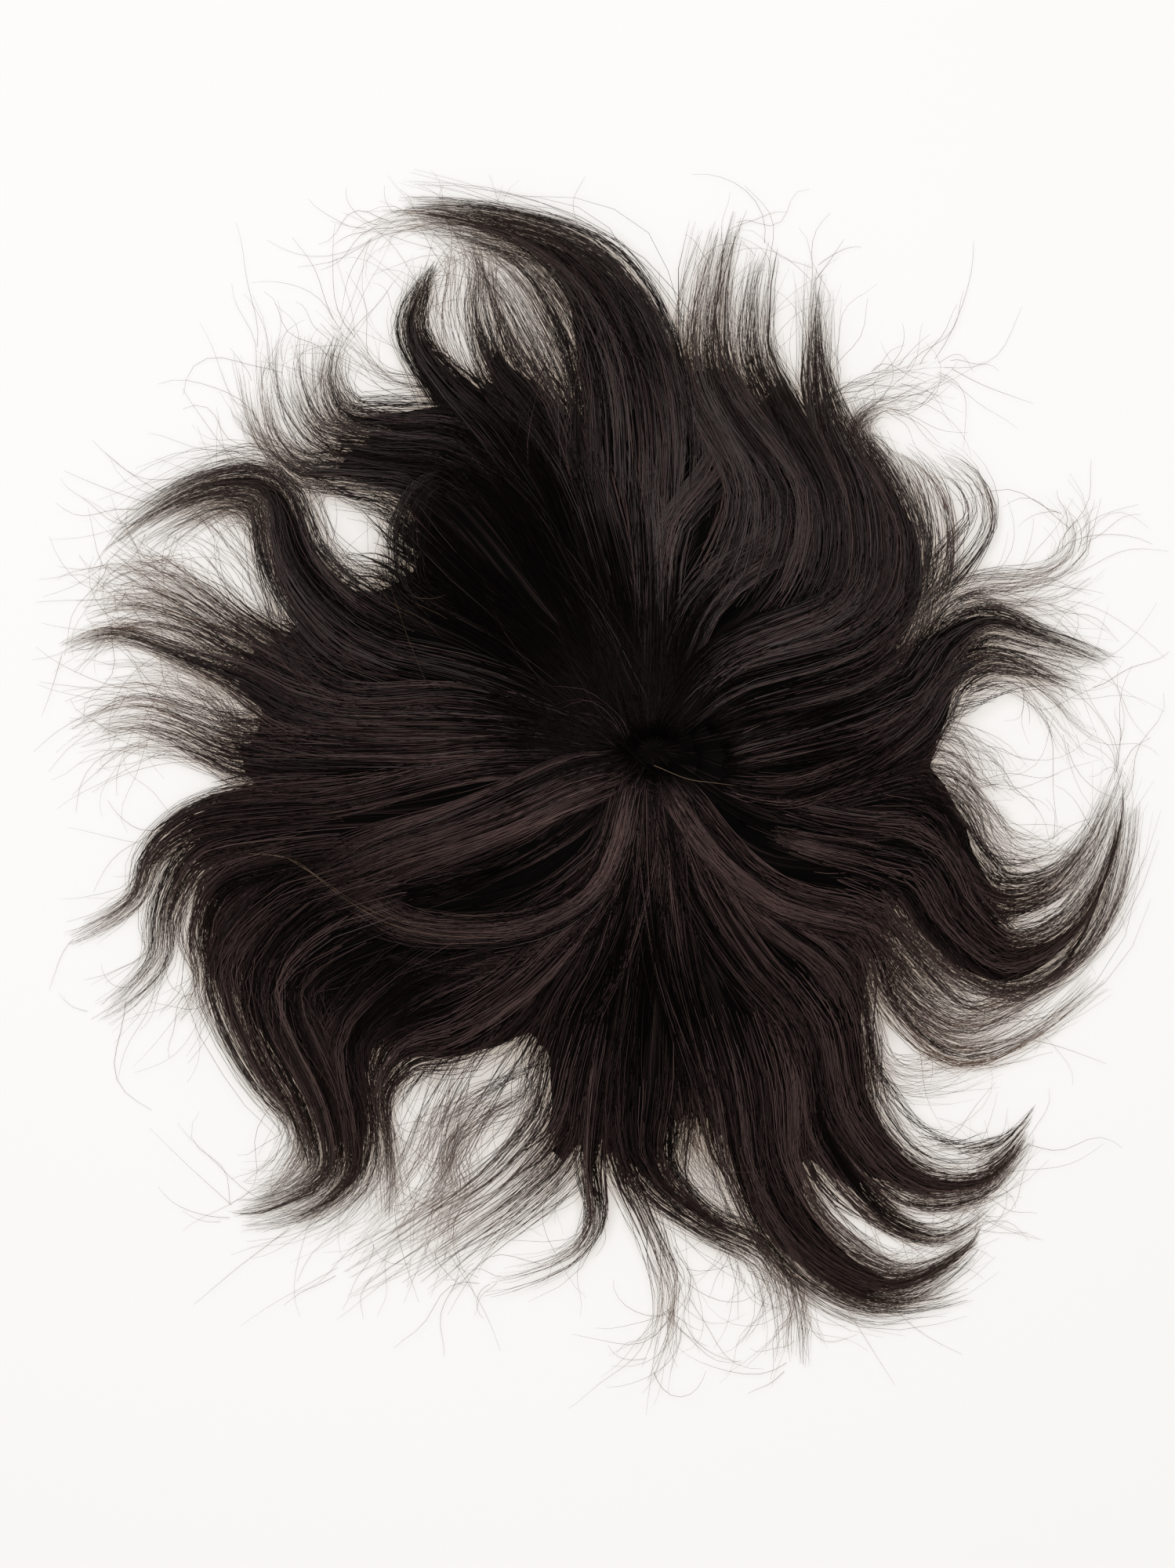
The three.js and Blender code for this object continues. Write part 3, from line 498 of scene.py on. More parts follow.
# Short hairs at the edge of the dense hair between two locks, of which some stand for whole tufts.
EDGE_PER_MM = 4.8
LOCK_SIDE = (0.1, 0.35)
EDGE_REACH_LEAST, EDGE_REACH, EDGE_REACH_MOST = 0.2, 0.5, 0.6
EDGE_BEGIN, EDGE_LEAST, EDGE_PAST_TIP = (0.4, 0.8), 0.1, 0.4
EDGE_FADE, EDGE_GATHER = 1.2, 0.5
EDGE_WAVE, EDGE_WAVES, EDGE_DRIFT = 1.0, 0.7, 2.0
EDGE_WIDTHS, EDGE_THINNER = (0.7, 1.3), (0.7, 2)
EDGE_LEVELS, EDGE_TONE, EDGE_LIGHTER = (0.2, 2.4), (0.45, 0.2), 0.4
TUFT_SHARE, TUFT_REACH, TUFT_REACH_MOST, TUFT_BEGIN = 0.26, 0.8, 0.6, 0.25
TUFT_WIDTH, TUFT_THINNER = 1.2, (0.95, 1.2)
TUFT_LEVEL, TUFT_TONE, TUFT_LIGHTER = 0.1, 0.34, 0.1

# Single hairs that stray from the locks.
STRAY_MARGIN = 16.0
STRAY_ALONG, STRAY_ASIDE, STRAY_TURN = (0.4, 0.93), (0.3, 1.0), (0.05, 0.8)
STRAY_LENGTH, STRAY_CURL = (14, 55), 1.0
STRAY_WAVE, STRAY_WAVE_RATE, STRAY_PHASES = 0.25, 7, (0, 6)
STRAY_LOFT, STRAY_HALF_THICK = 3.0, 1.5
STRAY_WIDTHS, STRAY_THINNER = (0.7, 1.2), (0.6, 2)
STRAY_TONE, STRAY_TONE_SPREAD = 0.94, 0.05

# Finishes of the hair. Columns of the shades: place on the ramp, the colour's name and its strength. The
# strands' ramp has their shades twice, in half the width each.
STRAND_SHADES = (
    (0, "dark", 0.4),
    (0.3, "dark", 1),
    (0.62, "light", 1),
    (0.88, "light", 2.7),
    (0.96, "brown", 1),
    (0.985, "pale", 1),
)
# The tips mix a little towards brown: partly their own colour, partly painted light through the thin tips.
TIP_FADE = {"From Min": 0.6, "From Max": 1, "To Min": 0, "To Max": 0.12}
# The bed's shades are the hair's own tones darkened as painted shade deep between the strands.
BED_SHADES = ((0.3, "dark", 0.3), (0.55, "dark", 0.6), (0.8, "light", 0.6))
BED_STREAKS, BED_DETAIL = (150, 3, 1), 4
BED_ROUGHNESS, BED_GLOSS = 0.8, 0.2

# Finish of the net.
WAVE_SCALE_OF_PITCH, NET_DISTORTION = 0.314, 0.6
NET_FILM_TO, NET_THREAD_FROM = 0.55, 0.9
NET_BUMP, NET_BUMP_HEIGHT = 0.5, 0.0002
NET_ROUGHNESS, NET_GLOSS = 0.85, 0.2


def smoothstep(low, high, value):
    """0 below low, 1 above high, and a smooth rise between them."""
    part = np.clip((value - low) / (high - low), 0, 1)
    return part * part * (3 - 2 * part)


def normalised(vectors):
    """Vectors of length 1 along the last axis."""
    return vectors / np.maximum(1e-9, np.linalg.norm(vectors, axis=-1, keepdims=True))


def oval_radius(places, width, length):
    """How far plan places lie out from the middle of the base, 1 on an oval of that size."""
    across = (places[..., 0] - BASE_CENTRE[0]) / (width / 2)
    ahead = (places[..., 1] - BASE_CENTRE[1]) / (length / 2)
    return np.hypot(across, ahead)


def dome_height(radius, height):
    """Height of the base's dome at a part of its radius."""
    return height * np.maximum(0, 1 - radius**DOME_FULLNESS) ** DOME_ROUNDNESS


def mould_height(places):
    """Height of the underside of the hair over the base."""
    radius = oval_radius(places, BASE_WIDTH + 2 * GAP_OVER_BASE, BASE_LENGTH + 2 * GAP_OVER_BASE)
    return dome_height(radius, BASE_HEIGHT + GAP_OVER_BASE)


def drape_height(places):
    """Height at which the locks run: over the crown, then down in a long curve to the surface."""

    def fall(radius):
        return DRAPE_HEIGHT / (1 + (radius / DRAPE_REACH) ** DRAPE_FALL)

    radius = oval_radius(places, DRAPE_WIDTH, DRAPE_LENGTH)
    return np.maximum(0, fall(radius) - fall(DRAPE_END))


def spots(places, table):
    """The sum at plan places of round spots, each row of the table a middle, a radius and a value."""
    total = np.zeros(places.shape[:-1])
    for middle, radius, value in table:
        distance = np.linalg.norm(places - np.array(middle), axis=-1)
        total += value * np.exp(-((distance / radius) ** 2))
    return total


def crown_height(places):
    """Height of the top of the dense hair about the whorl."""
    return drape_height(places) + spots(places, RELIEF) - CROWN_BELOW_DRAPE


def rest_on_drape(places, half_thick, up):
    """Heights of strands that lie in a lock's thickness, up being -1 at its underside and 1 on top."""
    lift = smoothstep(*LIFT, oval_radius(places, DRAPE_WIDTH, DRAPE_LENGTH))
    return drape_height(places) + spots(places, RELIEF) + half_thick * (lift + up)


def with_painted_light(places, tones, part=1.0):
    """Tones of dense hairs at their places, with a part of the painted shade on steep hair and sheen on flat
    hair.
    """
    return np.clip(tones + part * spots(places, PAINTED_SHADE_AND_SHEEN), DARKEST, LIGHTEST_DENSE)


def to_row(places):
    """Millimetres from the crown point to metres in the part's own frame."""
    return (places + np.array((*CROWN_POINT, 0.0))) * MM


def catmull_rom(stations, steps):
    """A smooth plan curve through the stations, with that many steps between two of them."""
    before = 2 * stations[0] - stations[1]
    after = 2 * stations[-1] - stations[-2]
    points = np.vstack([before, stations, after])
    part = np.linspace(0, 1, steps, endpoint=False)[:, None]
    curve = []
    for p0, p1, p2, p3 in zip(points, points[1:], points[2:], points[3:]):
        d0, d1, d2 = (math.sqrt(np.linalg.norm(b - a)) for a, b in ((p0, p1), (p1, p2), (p2, p3)))
        slope1 = ((p1 - p0) / d0 - (p2 - p0) / (d0 + d1) + (p2 - p1) / d1) * d1
        slope2 = ((p2 - p1) / d1 - (p3 - p1) / (d1 + d2) + (p3 - p2) / d2) * d1
        square = 3 * (p2 - p1) - 2 * slope1 - slope2
        cube = 2 * (p1 - p2) + slope1 + slope2
        curve.append(p1 + slope1 * part + square * part**2 + cube * part**3)
    return np.vstack([*curve, stations[-1:]])


class Guide:
    """The middle line of a lock in plan, with its width and thickness at each station."""

    def __init__(self, stations, widths, thicks):
        stations = np.array(stations, float)
        self.last = len(stations) - 1
        self.places = catmull_rom(stations, CURVE_STEPS)
        self.knots = np.linspace(0, self.last, len(self.places))
        ahead = np.gradient(self.places, axis=0)
        self.ahead = ahead / np.linalg.norm(ahead, axis=1, keepdims=True)
        self.half_widths = np.array(widths, float) / 2
        self.half_thicks = np.array(thicks, float) / 2

    def place(self, along):
        """Plan places at stations along the guide."""
        return np.stack([np.interp(along, self.knots, self.places[:, axis]) for axis in (0, 1)], axis=-1)

    def left(self, along):
        """Plan directions to the left of the guide."""
        x, y = (np.interp(along, self.knots, self.ahead[:, axis]) for axis in (0, 1))
        aside = np.stack([-y, x], axis=-1)
        return aside / np.linalg.norm(aside, axis=-1, keepdims=True)

    def half_width(self, along):
        """Half the lock's width at stations along the guide."""
        return np.interp(along, np.arange(self.last + 1), self.half_widths)

    def half_thick(self, along):
        """Half the lock's thickness at stations along the guide."""
        return np.interp(along, np.arange(self.last + 1), self.half_thicks)

    def beside(self, along, aside, drift=0.0):
        """Plan places to the left of the guide, by parts of its half width and a drift in millimetres."""
        return self.place(along) + self.left(along) * (aside * self.half_width(along) + drift)[..., None]


def turned(direction, angle):
    """A plan direction turned to the left by an angle in radians."""
    x, y = direction
    return np.array((x * math.cos(angle) - y * math.sin(angle), x * math.sin(angle) + y * math.cos(angle)))


def lock_guide(row):
    """The guide of a lock, from the whorl to a little past its tip."""
    lock = dict(zip(LOCK_COLUMNS, row))
    rise, leave, bend, turn, run, tip = (
        np.array(lock[station], float) for station in ("rise", "leave", "bend", "turn", "run", "tip")
    )
    start = WHORL + ROOT_PART * (rise - WHORL)
    first, second = run - turn, tip - run
    curl = math.atan2(first[0] * second[1] - first[1] * second[0], first @ second)
    past = tip + PAST_TIP * turned(second, curl * PAST_CURL)
    at_leave, at_turn, at_run, at_tip = lock["widths"]
    before = [part * at_leave for part in LOCK_WIDTHS_BEFORE]
    widths = [*before, at_leave, (at_leave + at_turn) / 2, at_turn, at_run, at_tip, at_tip]
    return Guide([start, rise, leave, bend, turn, run, tip, past], widths, LOCK_TAPER * lock["thick"])


def wisp_guide(row):
    """The guide of a thin wisp, with one width along most of it."""
    _, places, width, _ = row
    widths = np.full(len(places), float(width))
    widths[0] *= WISP_ROOT_WIDTH
    widths[-1] *= WISP_TIP_WIDTH
    return Guide(places, widths, np.full(len(places), WISP_THICK))


def sheet_guide(row):
    """The guide of a sheet of hair, narrow at its root."""
    _, places, width, *_ = row
    widths = np.full(len(places), float(width))
    widths[:2] *= SHEET_WIDTHS_FIRST
    return Guide(places, widths, np.full(len(places), SHEET_THICK))


def rooted(row):
    """A sheet's row whose line begins close to the whorl if it starts near it."""
    name, places, *others = row
    out = np.array(places[0]) - WHORL
    if np.linalg.norm(out) < ROOT_REACH:
        places = (tuple(WHORL + ROOT_CLOSE * out), *places)
    return name, places, *others


def points_along(count):
    """The points of a strand as parts of its length, in one row for all the strands of a batch."""
    return np.linspace(0, 1, count)[None, :]


def stretched(begin, end, part):
    """Stations at parts of the way from each strand's beginning to its end."""
    return begin[:, None] + (end - begin)[:, None] * part


def tapered(widths, part, thinner):
    """Radii along strands that lose a part of their width towards the tip, later with a higher power."""
    loss, power = thinner
    return widths[:, None] / 2 * (1 - loss * part**power)


def as_lines(places, heights, radii):
    """Plan places and heights as middle lines that stay above the surface."""
    heights = np.maximum(heights, radii + LEAST_LIFT)
    return np.concatenate([places, heights[..., None]], axis=-1)


def wander(rng, count, part, size, waves):
    """A slow sideways wave for each strand, of a given size in millimetres."""
    phase = rng.uniform(0, 2 * math.pi, (count, 1))
    rate = rng.uniform(*WANDER_RATES, (count, 1)) * waves * 2 * math.pi
    return size * np.sin(phase + rate * part)


def bands_of(aside, full_width, pitch):
    """The number of bands across a sheet, and the band in which each strand lies."""
    bands = max(BANDS_LEAST, round(full_width / pitch))
    return bands, np.clip(((aside + 1) / 2 * bands).astype(int), 0, bands - 1)


def banded(rng, aside, full_width, pitch, size):
    """A value from -size to size for each strand that it shares with the strands of its own band."""
    bands, band = bands_of(aside, full_width, pitch)
    return rng.uniform(-size, size, bands)[band]


def streaks(rng, aside, full_width, part):
    """Streaks of tone, partly own and partly painted sheen, which neighbouring strands share and which come
    and go along them.
    """
    bands, band = bands_of(aside, full_width, STREAK_BAND)
    values = rng.uniform(-STREAK, STREAK, (bands, STREAK_PARTS))
    stations = np.linspace(0, 1, STREAK_PARTS)
    return np.array([np.interp(part[0], stations, value) for value in values])[band]


def glints(rng, count, part, size):
    """A short stretch on each strand that is lighter, as a painted highlight, or darker, as changes of tone.
    """
    middle = rng.uniform(0, 1, (count, 1))
    return size * rng.uniform(*GLINT_RANGE, (count, 1)) * np.exp(-(((part - middle) / GLINT_LENGTH) ** 2))


def gathered(rng, guide, count):
    """The number of clumps in a lock, and the place, end, lean, tone and phase of each hair's clump."""
    clumps = max(CLUMPS_LEAST, round(2 * guide.half_widths[LEAVE] / CLUMP_PITCH))
    clump = rng.integers(0, clumps, count)
    middles = np.linspace(-CLUMP_REACH, CLUMP_REACH, clumps) + rng.normal(0, CLUMP_SHIFT / clumps, clumps)
    ends = TIP + CLUMP_PAST_TIP - np.abs(rng.normal(0, CLUMP_SHORTER, clumps))
    leans = rng.normal(0, CLUMP_LEAN, clumps)
    tones = rng.normal(*CLUMP_TONE, clumps)
    phases = rng.uniform(0, 2 * math.pi, clumps)
    return clumps, *(values[clump] for values in (middles, ends, leans, tones, phases))


def lock_stations(rng, count, clump_end, core_end, part):
    """Stations along the hairs of a lock, of which some end soon after its dense core."""
    begin = rng.uniform(*LOCK_BEGIN, count)
    end = np.maximum(begin + LOCK_LEAST, clump_end - rng.exponential(LOCK_SHORTER, count))
    short = rng.random(count) < SHORT_SHARE
    cut = np.maximum(begin + SHORT_LEAST, core_end + rng.exponential(SHORT_LONGER, count))
    return stretched(begin, np.where(short, np.minimum(end, cut), end), part)


def lock_strands(rng, guide, count, strand_width, core_end):
    """Middle lines, radii, tones and span of the hairs of one lock, gathered in small clumps."""
    part = points_along(LOCK_POINTS)
    clumps, middle, clump_end, clump_lean, clump_tone, phase = gathered(rng, guide, count)
    loose = rng.random(count) < LOOSE_SHARE
    root_spread = np.where(loose, LOOSE_ROOT, CLOSE_ROOT / clumps)
    root_aside = ROOT_SPREAD * middle + rng.normal(0, 1, count) * root_spread
    tip_aside = middle + rng.normal(0, 1, count) * np.where(loose, LOOSE_TIP, CLOSE_TIP / clumps)
    along = lock_stations(rng, count, clump_end, core_end, part)
    gather = smoothstep(*GATHER_SPAN, along)
    tipward = smoothstep(*TIPWARD_SPAN, along)
    aside = root_aside[:, None] * (1 - gather) + tip_aside[:, None] * gather
    lean = clump_lean + rng.normal(0, 1, count) * np.where(loose, LOOSE_LEAN, CLOSE_LEAN)
    sway = SWAY * np.sin(phase[:, None] + along * SWAY_RATE) * smoothstep(*SWAY_SPAN, along)
    drift = lean[:, None] * tipward**2 + sway
    drift += wander(rng, count, part, np.where(loose, LOOSE_WAVE, CLOSE_WAVE)[:, None], LOCK_WAVES) * gather
    places = guide.beside(along, aside, drift)

    width = strand_width * rng.uniform(*LOCK_WIDTHS, count) * np.where(loose, LOOSE_WIDTH, 1)
    radii = tapered(width, part, LOCK_THINNER)
    rounding = np.sqrt(np.maximum(ROUND_LEAST, 1 - np.minimum(1, np.abs(aside)) ** 2))
    level = rng.uniform(*LOCK_LEVELS, count)[:, None] * rounding - SIDE_DROP * (1 - rounding)
    loft = rng.exponential(LOCK_LOFT, count)[:, None] * tipward
    heights = rest_on_drape(places, guide.half_thick(along), level) + loft
    tone = clump_tone + rng.normal(0, LOCK_TONE_SPREAD, count)
    # Painted shade and sheen by place, and a painted highlight stretch along each hair.
    tone = with_painted_light(places, tone[:, None] + glints(rng, count, part, LOCK_GLINT))
    # Past the core, lighter towards brown: partly own colour, partly painted light through the thin hair.
    thinning = smoothstep(core_end + THIN_FROM, core_end + THIN_TO, along)
    tone = np.minimum(BROWN, tone + np.where(loose, LOOSE_LIGHTER, CLOSE_LIGHTER)[:, None] * thinning)
    return as_lines(places, heights, radii), radii, tone, LOCK_SPAN


def strewn(rng, guide, root, along, part, strand_width, habit):
    """Plan places and radii of strands that run along a guide from their places aside at its root."""
    count = len(root)
    aside = root[:, None] + rng.normal(0, habit.stray, count)[:, None] * part**2
    drift = wander(rng, count, part, habit.wave, habit.waves)
    drift += rng.normal(0, habit.drift, count)[:, None] * part**3
    widths = strand_width * rng.uniform(*habit.widths, count)
    return guide.beside(along, aside, drift), tapered(widths, part, habit.thinner)


def wisp_strands(rng, guide, count, strand_width):
    """Middle lines, radii, tones and span of the hairs of one thin wisp."""
    part = points_along(WISP_POINTS)
    root = rng.uniform(-1, 1, count)
    begin = rng.uniform(*WISP_BEGIN, count) * guide.last
    end = rng.uniform(*WISP_END, count) * guide.last
    along = stretched(begin, end, part)
    places, radii = strewn(rng, guide, root, along, part, strand_width, WISP_HABIT)
    level = rng.uniform(*WISP_LEVELS, count)[:, None]
    heights = rest_on_drape(places, guide.half_thick(along), level) + WISP_RISE
    # Lighter towards the tip: partly own brown, partly painted light through the thin hair.
    lighter = smoothstep(*WISP_LIGHTER, along / guide.last)
    tip_tone = rng.normal(WISP_TONE, WISP_TONE_SPREAD, (count, 1))
    tones = np.clip(WISP_ROOT_TONE + (tip_tone - WISP_ROOT_TONE) * lighter, 0, BROWN)
    return as_lines(places, heights, radii), radii, tones, TIP_SPAN


def sheet_strands(rng, row, strand_width, shade=1.0):
    """Middle lines, radii, tones and span of the hairs of one sheet."""
    _, _, full_width, count, middle_tone, rise = row
    guide = sheet_guide(row)
    part = points_along(SHEET_POINTS)
    root = rng.uniform(-1, 1, count)
    begin = rng.exponential(SHEET_BEGIN, count) * guide.last
    end = (1 - np.minimum(SHEET_SHORTEST, rng.exponential(SHEET_SHORTER, count))) * guide.last
    along = stretched(begin, end, part)
    places, radii = strewn(rng, guide, root, along, part, strand_width, SHEET_HABIT)
    level = SHEET_LEVEL + banded(rng, root, full_width, STREAK_BAND, LEVEL_BAND)
    level = level + rng.normal(0, LEVEL_SPREAD, count)
    heights = rest_on_drape(places, guide.half_thick(along), level[:, None]) + rise
    tone = middle_tone + banded(rng, root, full_width, BROAD_BAND, TONE_BAND)
    tone = tone + rng.normal(0, SHEET_TONE_SPREAD, count)
    # Streaks of own tone and painted sheen, and painted highlight stretches.
    tone = tone[:, None] + streaks(rng, root, full_width, part) + glints(rng, count, part, SHEET_GLINT)
    # Painted shade towards the root of each hair.
    tone -= ROOT_PAINTED_SHADE * (1 - smoothstep(0, ROOT_FADE, along / guide.last))
    # Painted shade and sheen by place, only a part of it for the crossing hairs; pale hairs take none.
    tone = np.full(radii.shape, PALE) if middle_tone > 1 else with_painted_light(places, tone, shade)
    return as_lines(places, heights, radii), radii, tone, ROOT_SPAN


def in_web(first, second, along, share, drift):
    """Plan places at a share of the way between two guides, and the heights of the dense hair there."""
    near, far = first.place(along), second.place(along)
    places = near + (far - near) * share[..., None] + normalised(far - near) * drift[..., None]
    half_thick = first.half_thick(along) * (1 - share) + second.half_thick(along) * share
    return places, rest_on_drape(places, half_thick, GAP_LEVEL)


def body_strands(rng, first, second, count, strand_width, reach):
    """Middle lines, radii, tones and span of the hairs between two locks, out to a station's reach."""
    part = points_along(BODY_POINTS)
    share = rng.uniform(0, 1, count)[:, None]
    begin = np.maximum(BODY_FIRST, reach - rng.uniform(*BODY_LENGTHS, count))
    end = reach - BODY_BACK + rng.exponential(BODY_PAST, count)
    along = stretched(begin, end, part)
    share = share + (np.round(share) - share) * smoothstep(reach - PART_BEFORE, reach + PART_PAST, along)
    drift = wander(rng, count, part, BODY_WAVE, BODY_WAVES)
    drift += rng.normal(0, BODY_DRIFT, count)[:, None] * part
    places, heights = in_web(first, second, along, share, drift)
    radii = tapered(strand_width * rng.uniform(*BODY_WIDTHS, count), part, BODY_THINNER)
    level = rng.uniform(*BODY_LEVELS, count)[:, None]
    arch = ARCH_LEAST + (1 - ARCH_LEAST) * np.sin(math.pi * np.clip(part, *ARCH_SPAN))
    heights = heights + BODY_LIFT + level * arch
    # Painted shade and sheen by place.
    tone = with_painted_light(places, rng.normal(*BODY_TONE, (count, 1)))
    return as_lines(places, heights, radii), radii, tone, LOCK_SPAN


def web_edge(share, joined):
    """The station at which the dense hair between two locks ends, a hollow curve from lock to lock."""
    return joined - WEB_HOLLOW * 4 * share * (1 - share)


def edge_strands(rng, first, second, count, strand_width, ends):
    """Middle lines, radii, tones and span of short hairs that fray the dense hair between two locks."""
    part = points_along(EDGE_POINTS)
    share = rng.uniform(0, 1, count)
    tuft = rng.random(count) < TUFT_SHARE
    at_first, joined, at_second = ends
    web = web_edge(share, joined)
    at_lock = np.maximum(web, np.where(share < MIDDLE_SHARE, at_first, at_second))
    edge = at_lock + (web - at_lock) * smoothstep(*LOCK_SIDE, np.minimum(share, 1 - share))
    edge = np.where(tuft, web, edge)
    tuft_reach = min(TUFT_REACH_MOST, TUFT_REACH * (joined - LEAVE))
    hair_reach = min(EDGE_REACH_MOST, EDGE_REACH_LEAST + EDGE_REACH * (joined - LEAVE))
    begin = edge - np.where(tuft, TUFT_BEGIN, rng.uniform(*EDGE_BEGIN, count))
    longer = rng.exponential(np.where(tuft, tuft_reach, hair_reach))
    end = np.minimum(TIP + EDGE_PAST_TIP, edge + EDGE_LEAST + longer)
    along = stretched(begin, end, part)
    past_edge = smoothstep(0, EDGE_FADE, along - edge[:, None])
    share = share[:, None] + EDGE_GATHER * (np.round(share) - share)[:, None] * past_edge
    drift = wander(rng, count, part, EDGE_WAVE, EDGE_WAVES)
    drift += rng.normal(0, EDGE_DRIFT, count)[:, None] * part**2
    places, heights = in_web(first, second, along, share, drift)

    widths = np.where(tuft, TUFT_WIDTH, strand_width) * rng.uniform(*EDGE_WIDTHS, (count, 1))[:, 0]
    tuft = tuft[:, None]
    radii = np.where(tuft, tapered(widths, part, TUFT_THINNER), tapered(widths, part, EDGE_THINNER))
    heights = heights + np.where(tuft, TUFT_LEVEL, rng.uniform(*EDGE_LEVELS, (count, 1)))
    tone = np.where(tuft, TUFT_TONE, rng.normal(*EDGE_TONE, (count, 1)))
    # Painted shade and sheen by place; past the edge lighter towards brown, partly own colour, partly painted
    # light.
    tone = np.minimum(BROWN, with_painted_light(places, tone) + np.where(tuft, TUFT_LIGHTER, EDGE_LIGHTER) * past_edge)
    return as_lines(places, heights, radii), radii, tone, LOCK_SPAN


def stray_line(rng, guides, part):
    """Plan places of one hair that leaves the side of a guide."""
    guide = guides[rng.integers(len(guides))]
    along = rng.uniform(*STRAY_ALONG) * guide.last
    side = rng.choice((-1.0, 1.0))
    left = guide.left(along)
    place = guide.place(along) + left * side * guide.half_width(along) * rng.uniform(*STRAY_ASIDE)
    heading = math.atan2(-left[0], left[1]) + side * rng.uniform(*STRAY_TURN)
    length = rng.uniform(*STRAY_LENGTH)
    curl = rng.normal(0, STRAY_CURL)
    wave = rng.normal(0, STRAY_WAVE) * np.sin(part * STRAY_WAVE_RATE + rng.uniform(*STRAY_PHASES))
    bearings = heading + curl * part + wave
    steps = np.stack([np.cos(bearings), np.sin(bearings)], axis=-1) * length / STRAY_POINTS
    return place + np.cumsum(steps, axis=0) - steps[0]


def stray_strands(rng, guides, count, strand_width):
    """Middle lines, radii, tones and span of single hairs that stray from the locks."""
    part = points_along(STRAY_POINTS)[0]
    low, high = (np.array(corner)[:2] / MM - CROWN_POINT for corner in CAD_BOX)
    kept, rises = [], []
    while len(kept) < count:
        places = stray_line(rng, guides, part)
        if (places < low - STRAY_MARGIN).any() or (places > high + STRAY_MARGIN).any():
            continue
        kept.append(places)
        rises.append(rng.exponential(STRAY_LOFT) * part)
    places = np.array(kept)
    radii = tapered(strand_width * rng.uniform(*STRAY_WIDTHS, count), part, STRAY_THINNER)
    heights = rest_on_drape(places, STRAY_HALF_THICK, 0) + np.array(rises)
    # Brown of single hairs: partly own colour, partly painted light through the thin hair.
    tones = np.clip(rng.normal(STRAY_TONE, STRAY_TONE_SPREAD, (count, 1)), 0, BROWN)
    return as_lines(places, heights, radii), radii, np.broadcast_to(tones, radii.shape), TIP_SPAN


def redder(places):
    """Whether each hair is one of the redder ones, which are more common towards the back of the head."""
    share = RED_LEAST + (RED_MOST - RED_LEAST) * smoothstep(-RED_FROM, -RED_TO, -places[:, 1])
    return np.random.default_rng(len(places)).random(len(places)) < share


def strand_shell(lines, radii, tones, span, first):
    """Places, sides, ends and map places of closed three-sided strands, whose vertices count from first."""
    count, points, _ = lines.shape
    ahead = normalised(np.gradient(lines, axis=1))
    aside = normalised(np.cross(ahead, UP))
    over = np.cross(aside, ahead)
    out = np.cos(STRAND_SIDES)[:, None] * aside[:, :, None, :]
    spokes = out + np.sin(STRAND_SIDES)[:, None] * over[:, :, None, :]
    places = lines[:, :, None, :] + radii[:, :, None, None] * spokes
    index = first + np.arange(count * points * 3).reshape(count, points, 3)
    following = np.roll(index, -1, axis=2)
    sides = np.stack([index[:, :-1], index[:, 1:], following[:, 1:], following[:, :-1]], axis=-1)
    column = (np.floor(tones * TONES)[:, :, None] + SIDES_ON_MAP) / TONES
    across = (column + redder(lines[:, points // 2])[:, None, None]) / 2
    along = np.broadcast_to(np.linspace(*span, points)[None, :, None], (count, points, 3))
    on_map = np.stack([across, along], axis=-1)
    ends = np.concatenate([index[:, 0], index[:, -1, ::-1]])
    return places.reshape(-1, 3), sides.reshape(-1, 4), ends, on_map.reshape(-1, 2)


def strand_piece(name, batches, material):
    """One piece made of batches of strands, each of them middle lines, radii, tones and span."""
    shells = []
    first = 0
    for batch in batches:
        shells.append(strand_shell(*batch, first))
        first += len(shells[-1][0])
    places, sides, ends, on_map = (np.concatenate(made) for made in zip(*shells))
    corners = np.concatenate([sides.ravel(), ends.ravel()]).astype(np.int32)
    starts = np.concatenate([np.arange(len(sides)) * 4, len(sides) * 4 + np.arange(len(ends)) * 3])
    mesh = bpy.data.meshes.new(name)
    mesh.vertices.add(len(places))
    mesh.vertices.foreach_set("co", to_row(places).astype(np.float32).ravel())
    mesh.loops.add(len(corners))
    mesh.loops.foreach_set("vertex_index", corners)
    mesh.polygons.add(len(starts))
    mesh.polygons.foreach_set("loop_start", starts.astype(np.int32))
    mesh.update(calc_edges=True)
    layer = mesh.uv_layers.new(name=STRAND_MAP)
    layer.data.foreach_set("uv", on_map[corners].astype(np.float32).ravel())
    return finished(name, mesh, material)


def finished(name, mesh, material, smooth=True):
    """A new object of the scene for a mesh, with its material."""
    if smooth:
        mesh.shade_smooth()
    mesh.materials.append(material)
    piece = bpy.data.objects.new(name, mesh)
    bpy.context.scene.collection.objects.link(piece)
    return piece


def bmesh_piece(name, shape, material, smooth=True):
    """A new object of the scene from a finished bmesh, in metres in the part's frame."""
    mesh = bpy.data.meshes.new(name)
    shape.to_mesh(mesh)
    shape.free()
    return finished(name, mesh, material, smooth)


def place_hair(piece, node):
    """Sets a piece of hair in the place of its solid."""
    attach(piece, "root")
    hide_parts(node)


def new_material(name):
    """A material with only its Principled shader, and that shader."""
    material = bpy.data.materials.new(name)
    material.use_nodes = True
    return material, material.node_tree.nodes["Principled BSDF"]


def set_inputs(node, **values):
    """Sets a node's inputs, named with underscores for spaces."""
    for name, value in values.items():
        node.inputs[name.replace("_", " ")].default_value = value


def add_node(material, kind, links=None, **values):
    """A shader node with its settings, and with its inputs linked as named."""
    node = material.node_tree.nodes.new(kind)
    for key, value in values.items():
        setattr(node, key, value)
    for key, source in (links or {}).items():
        material.node_tree.links.new(source, node.inputs[key])
    return node


def set_ramp(node, stops):
    """Gives a colour ramp its stops, each a place and a colour."""
    elements = node.color_ramp.elements
    while len(elements) < len(stops):
        elements.new(1.0)
    for element, (place, colour) in zip(elements, stops):
        element.position = place
        element.color = (*colour, 1.0)


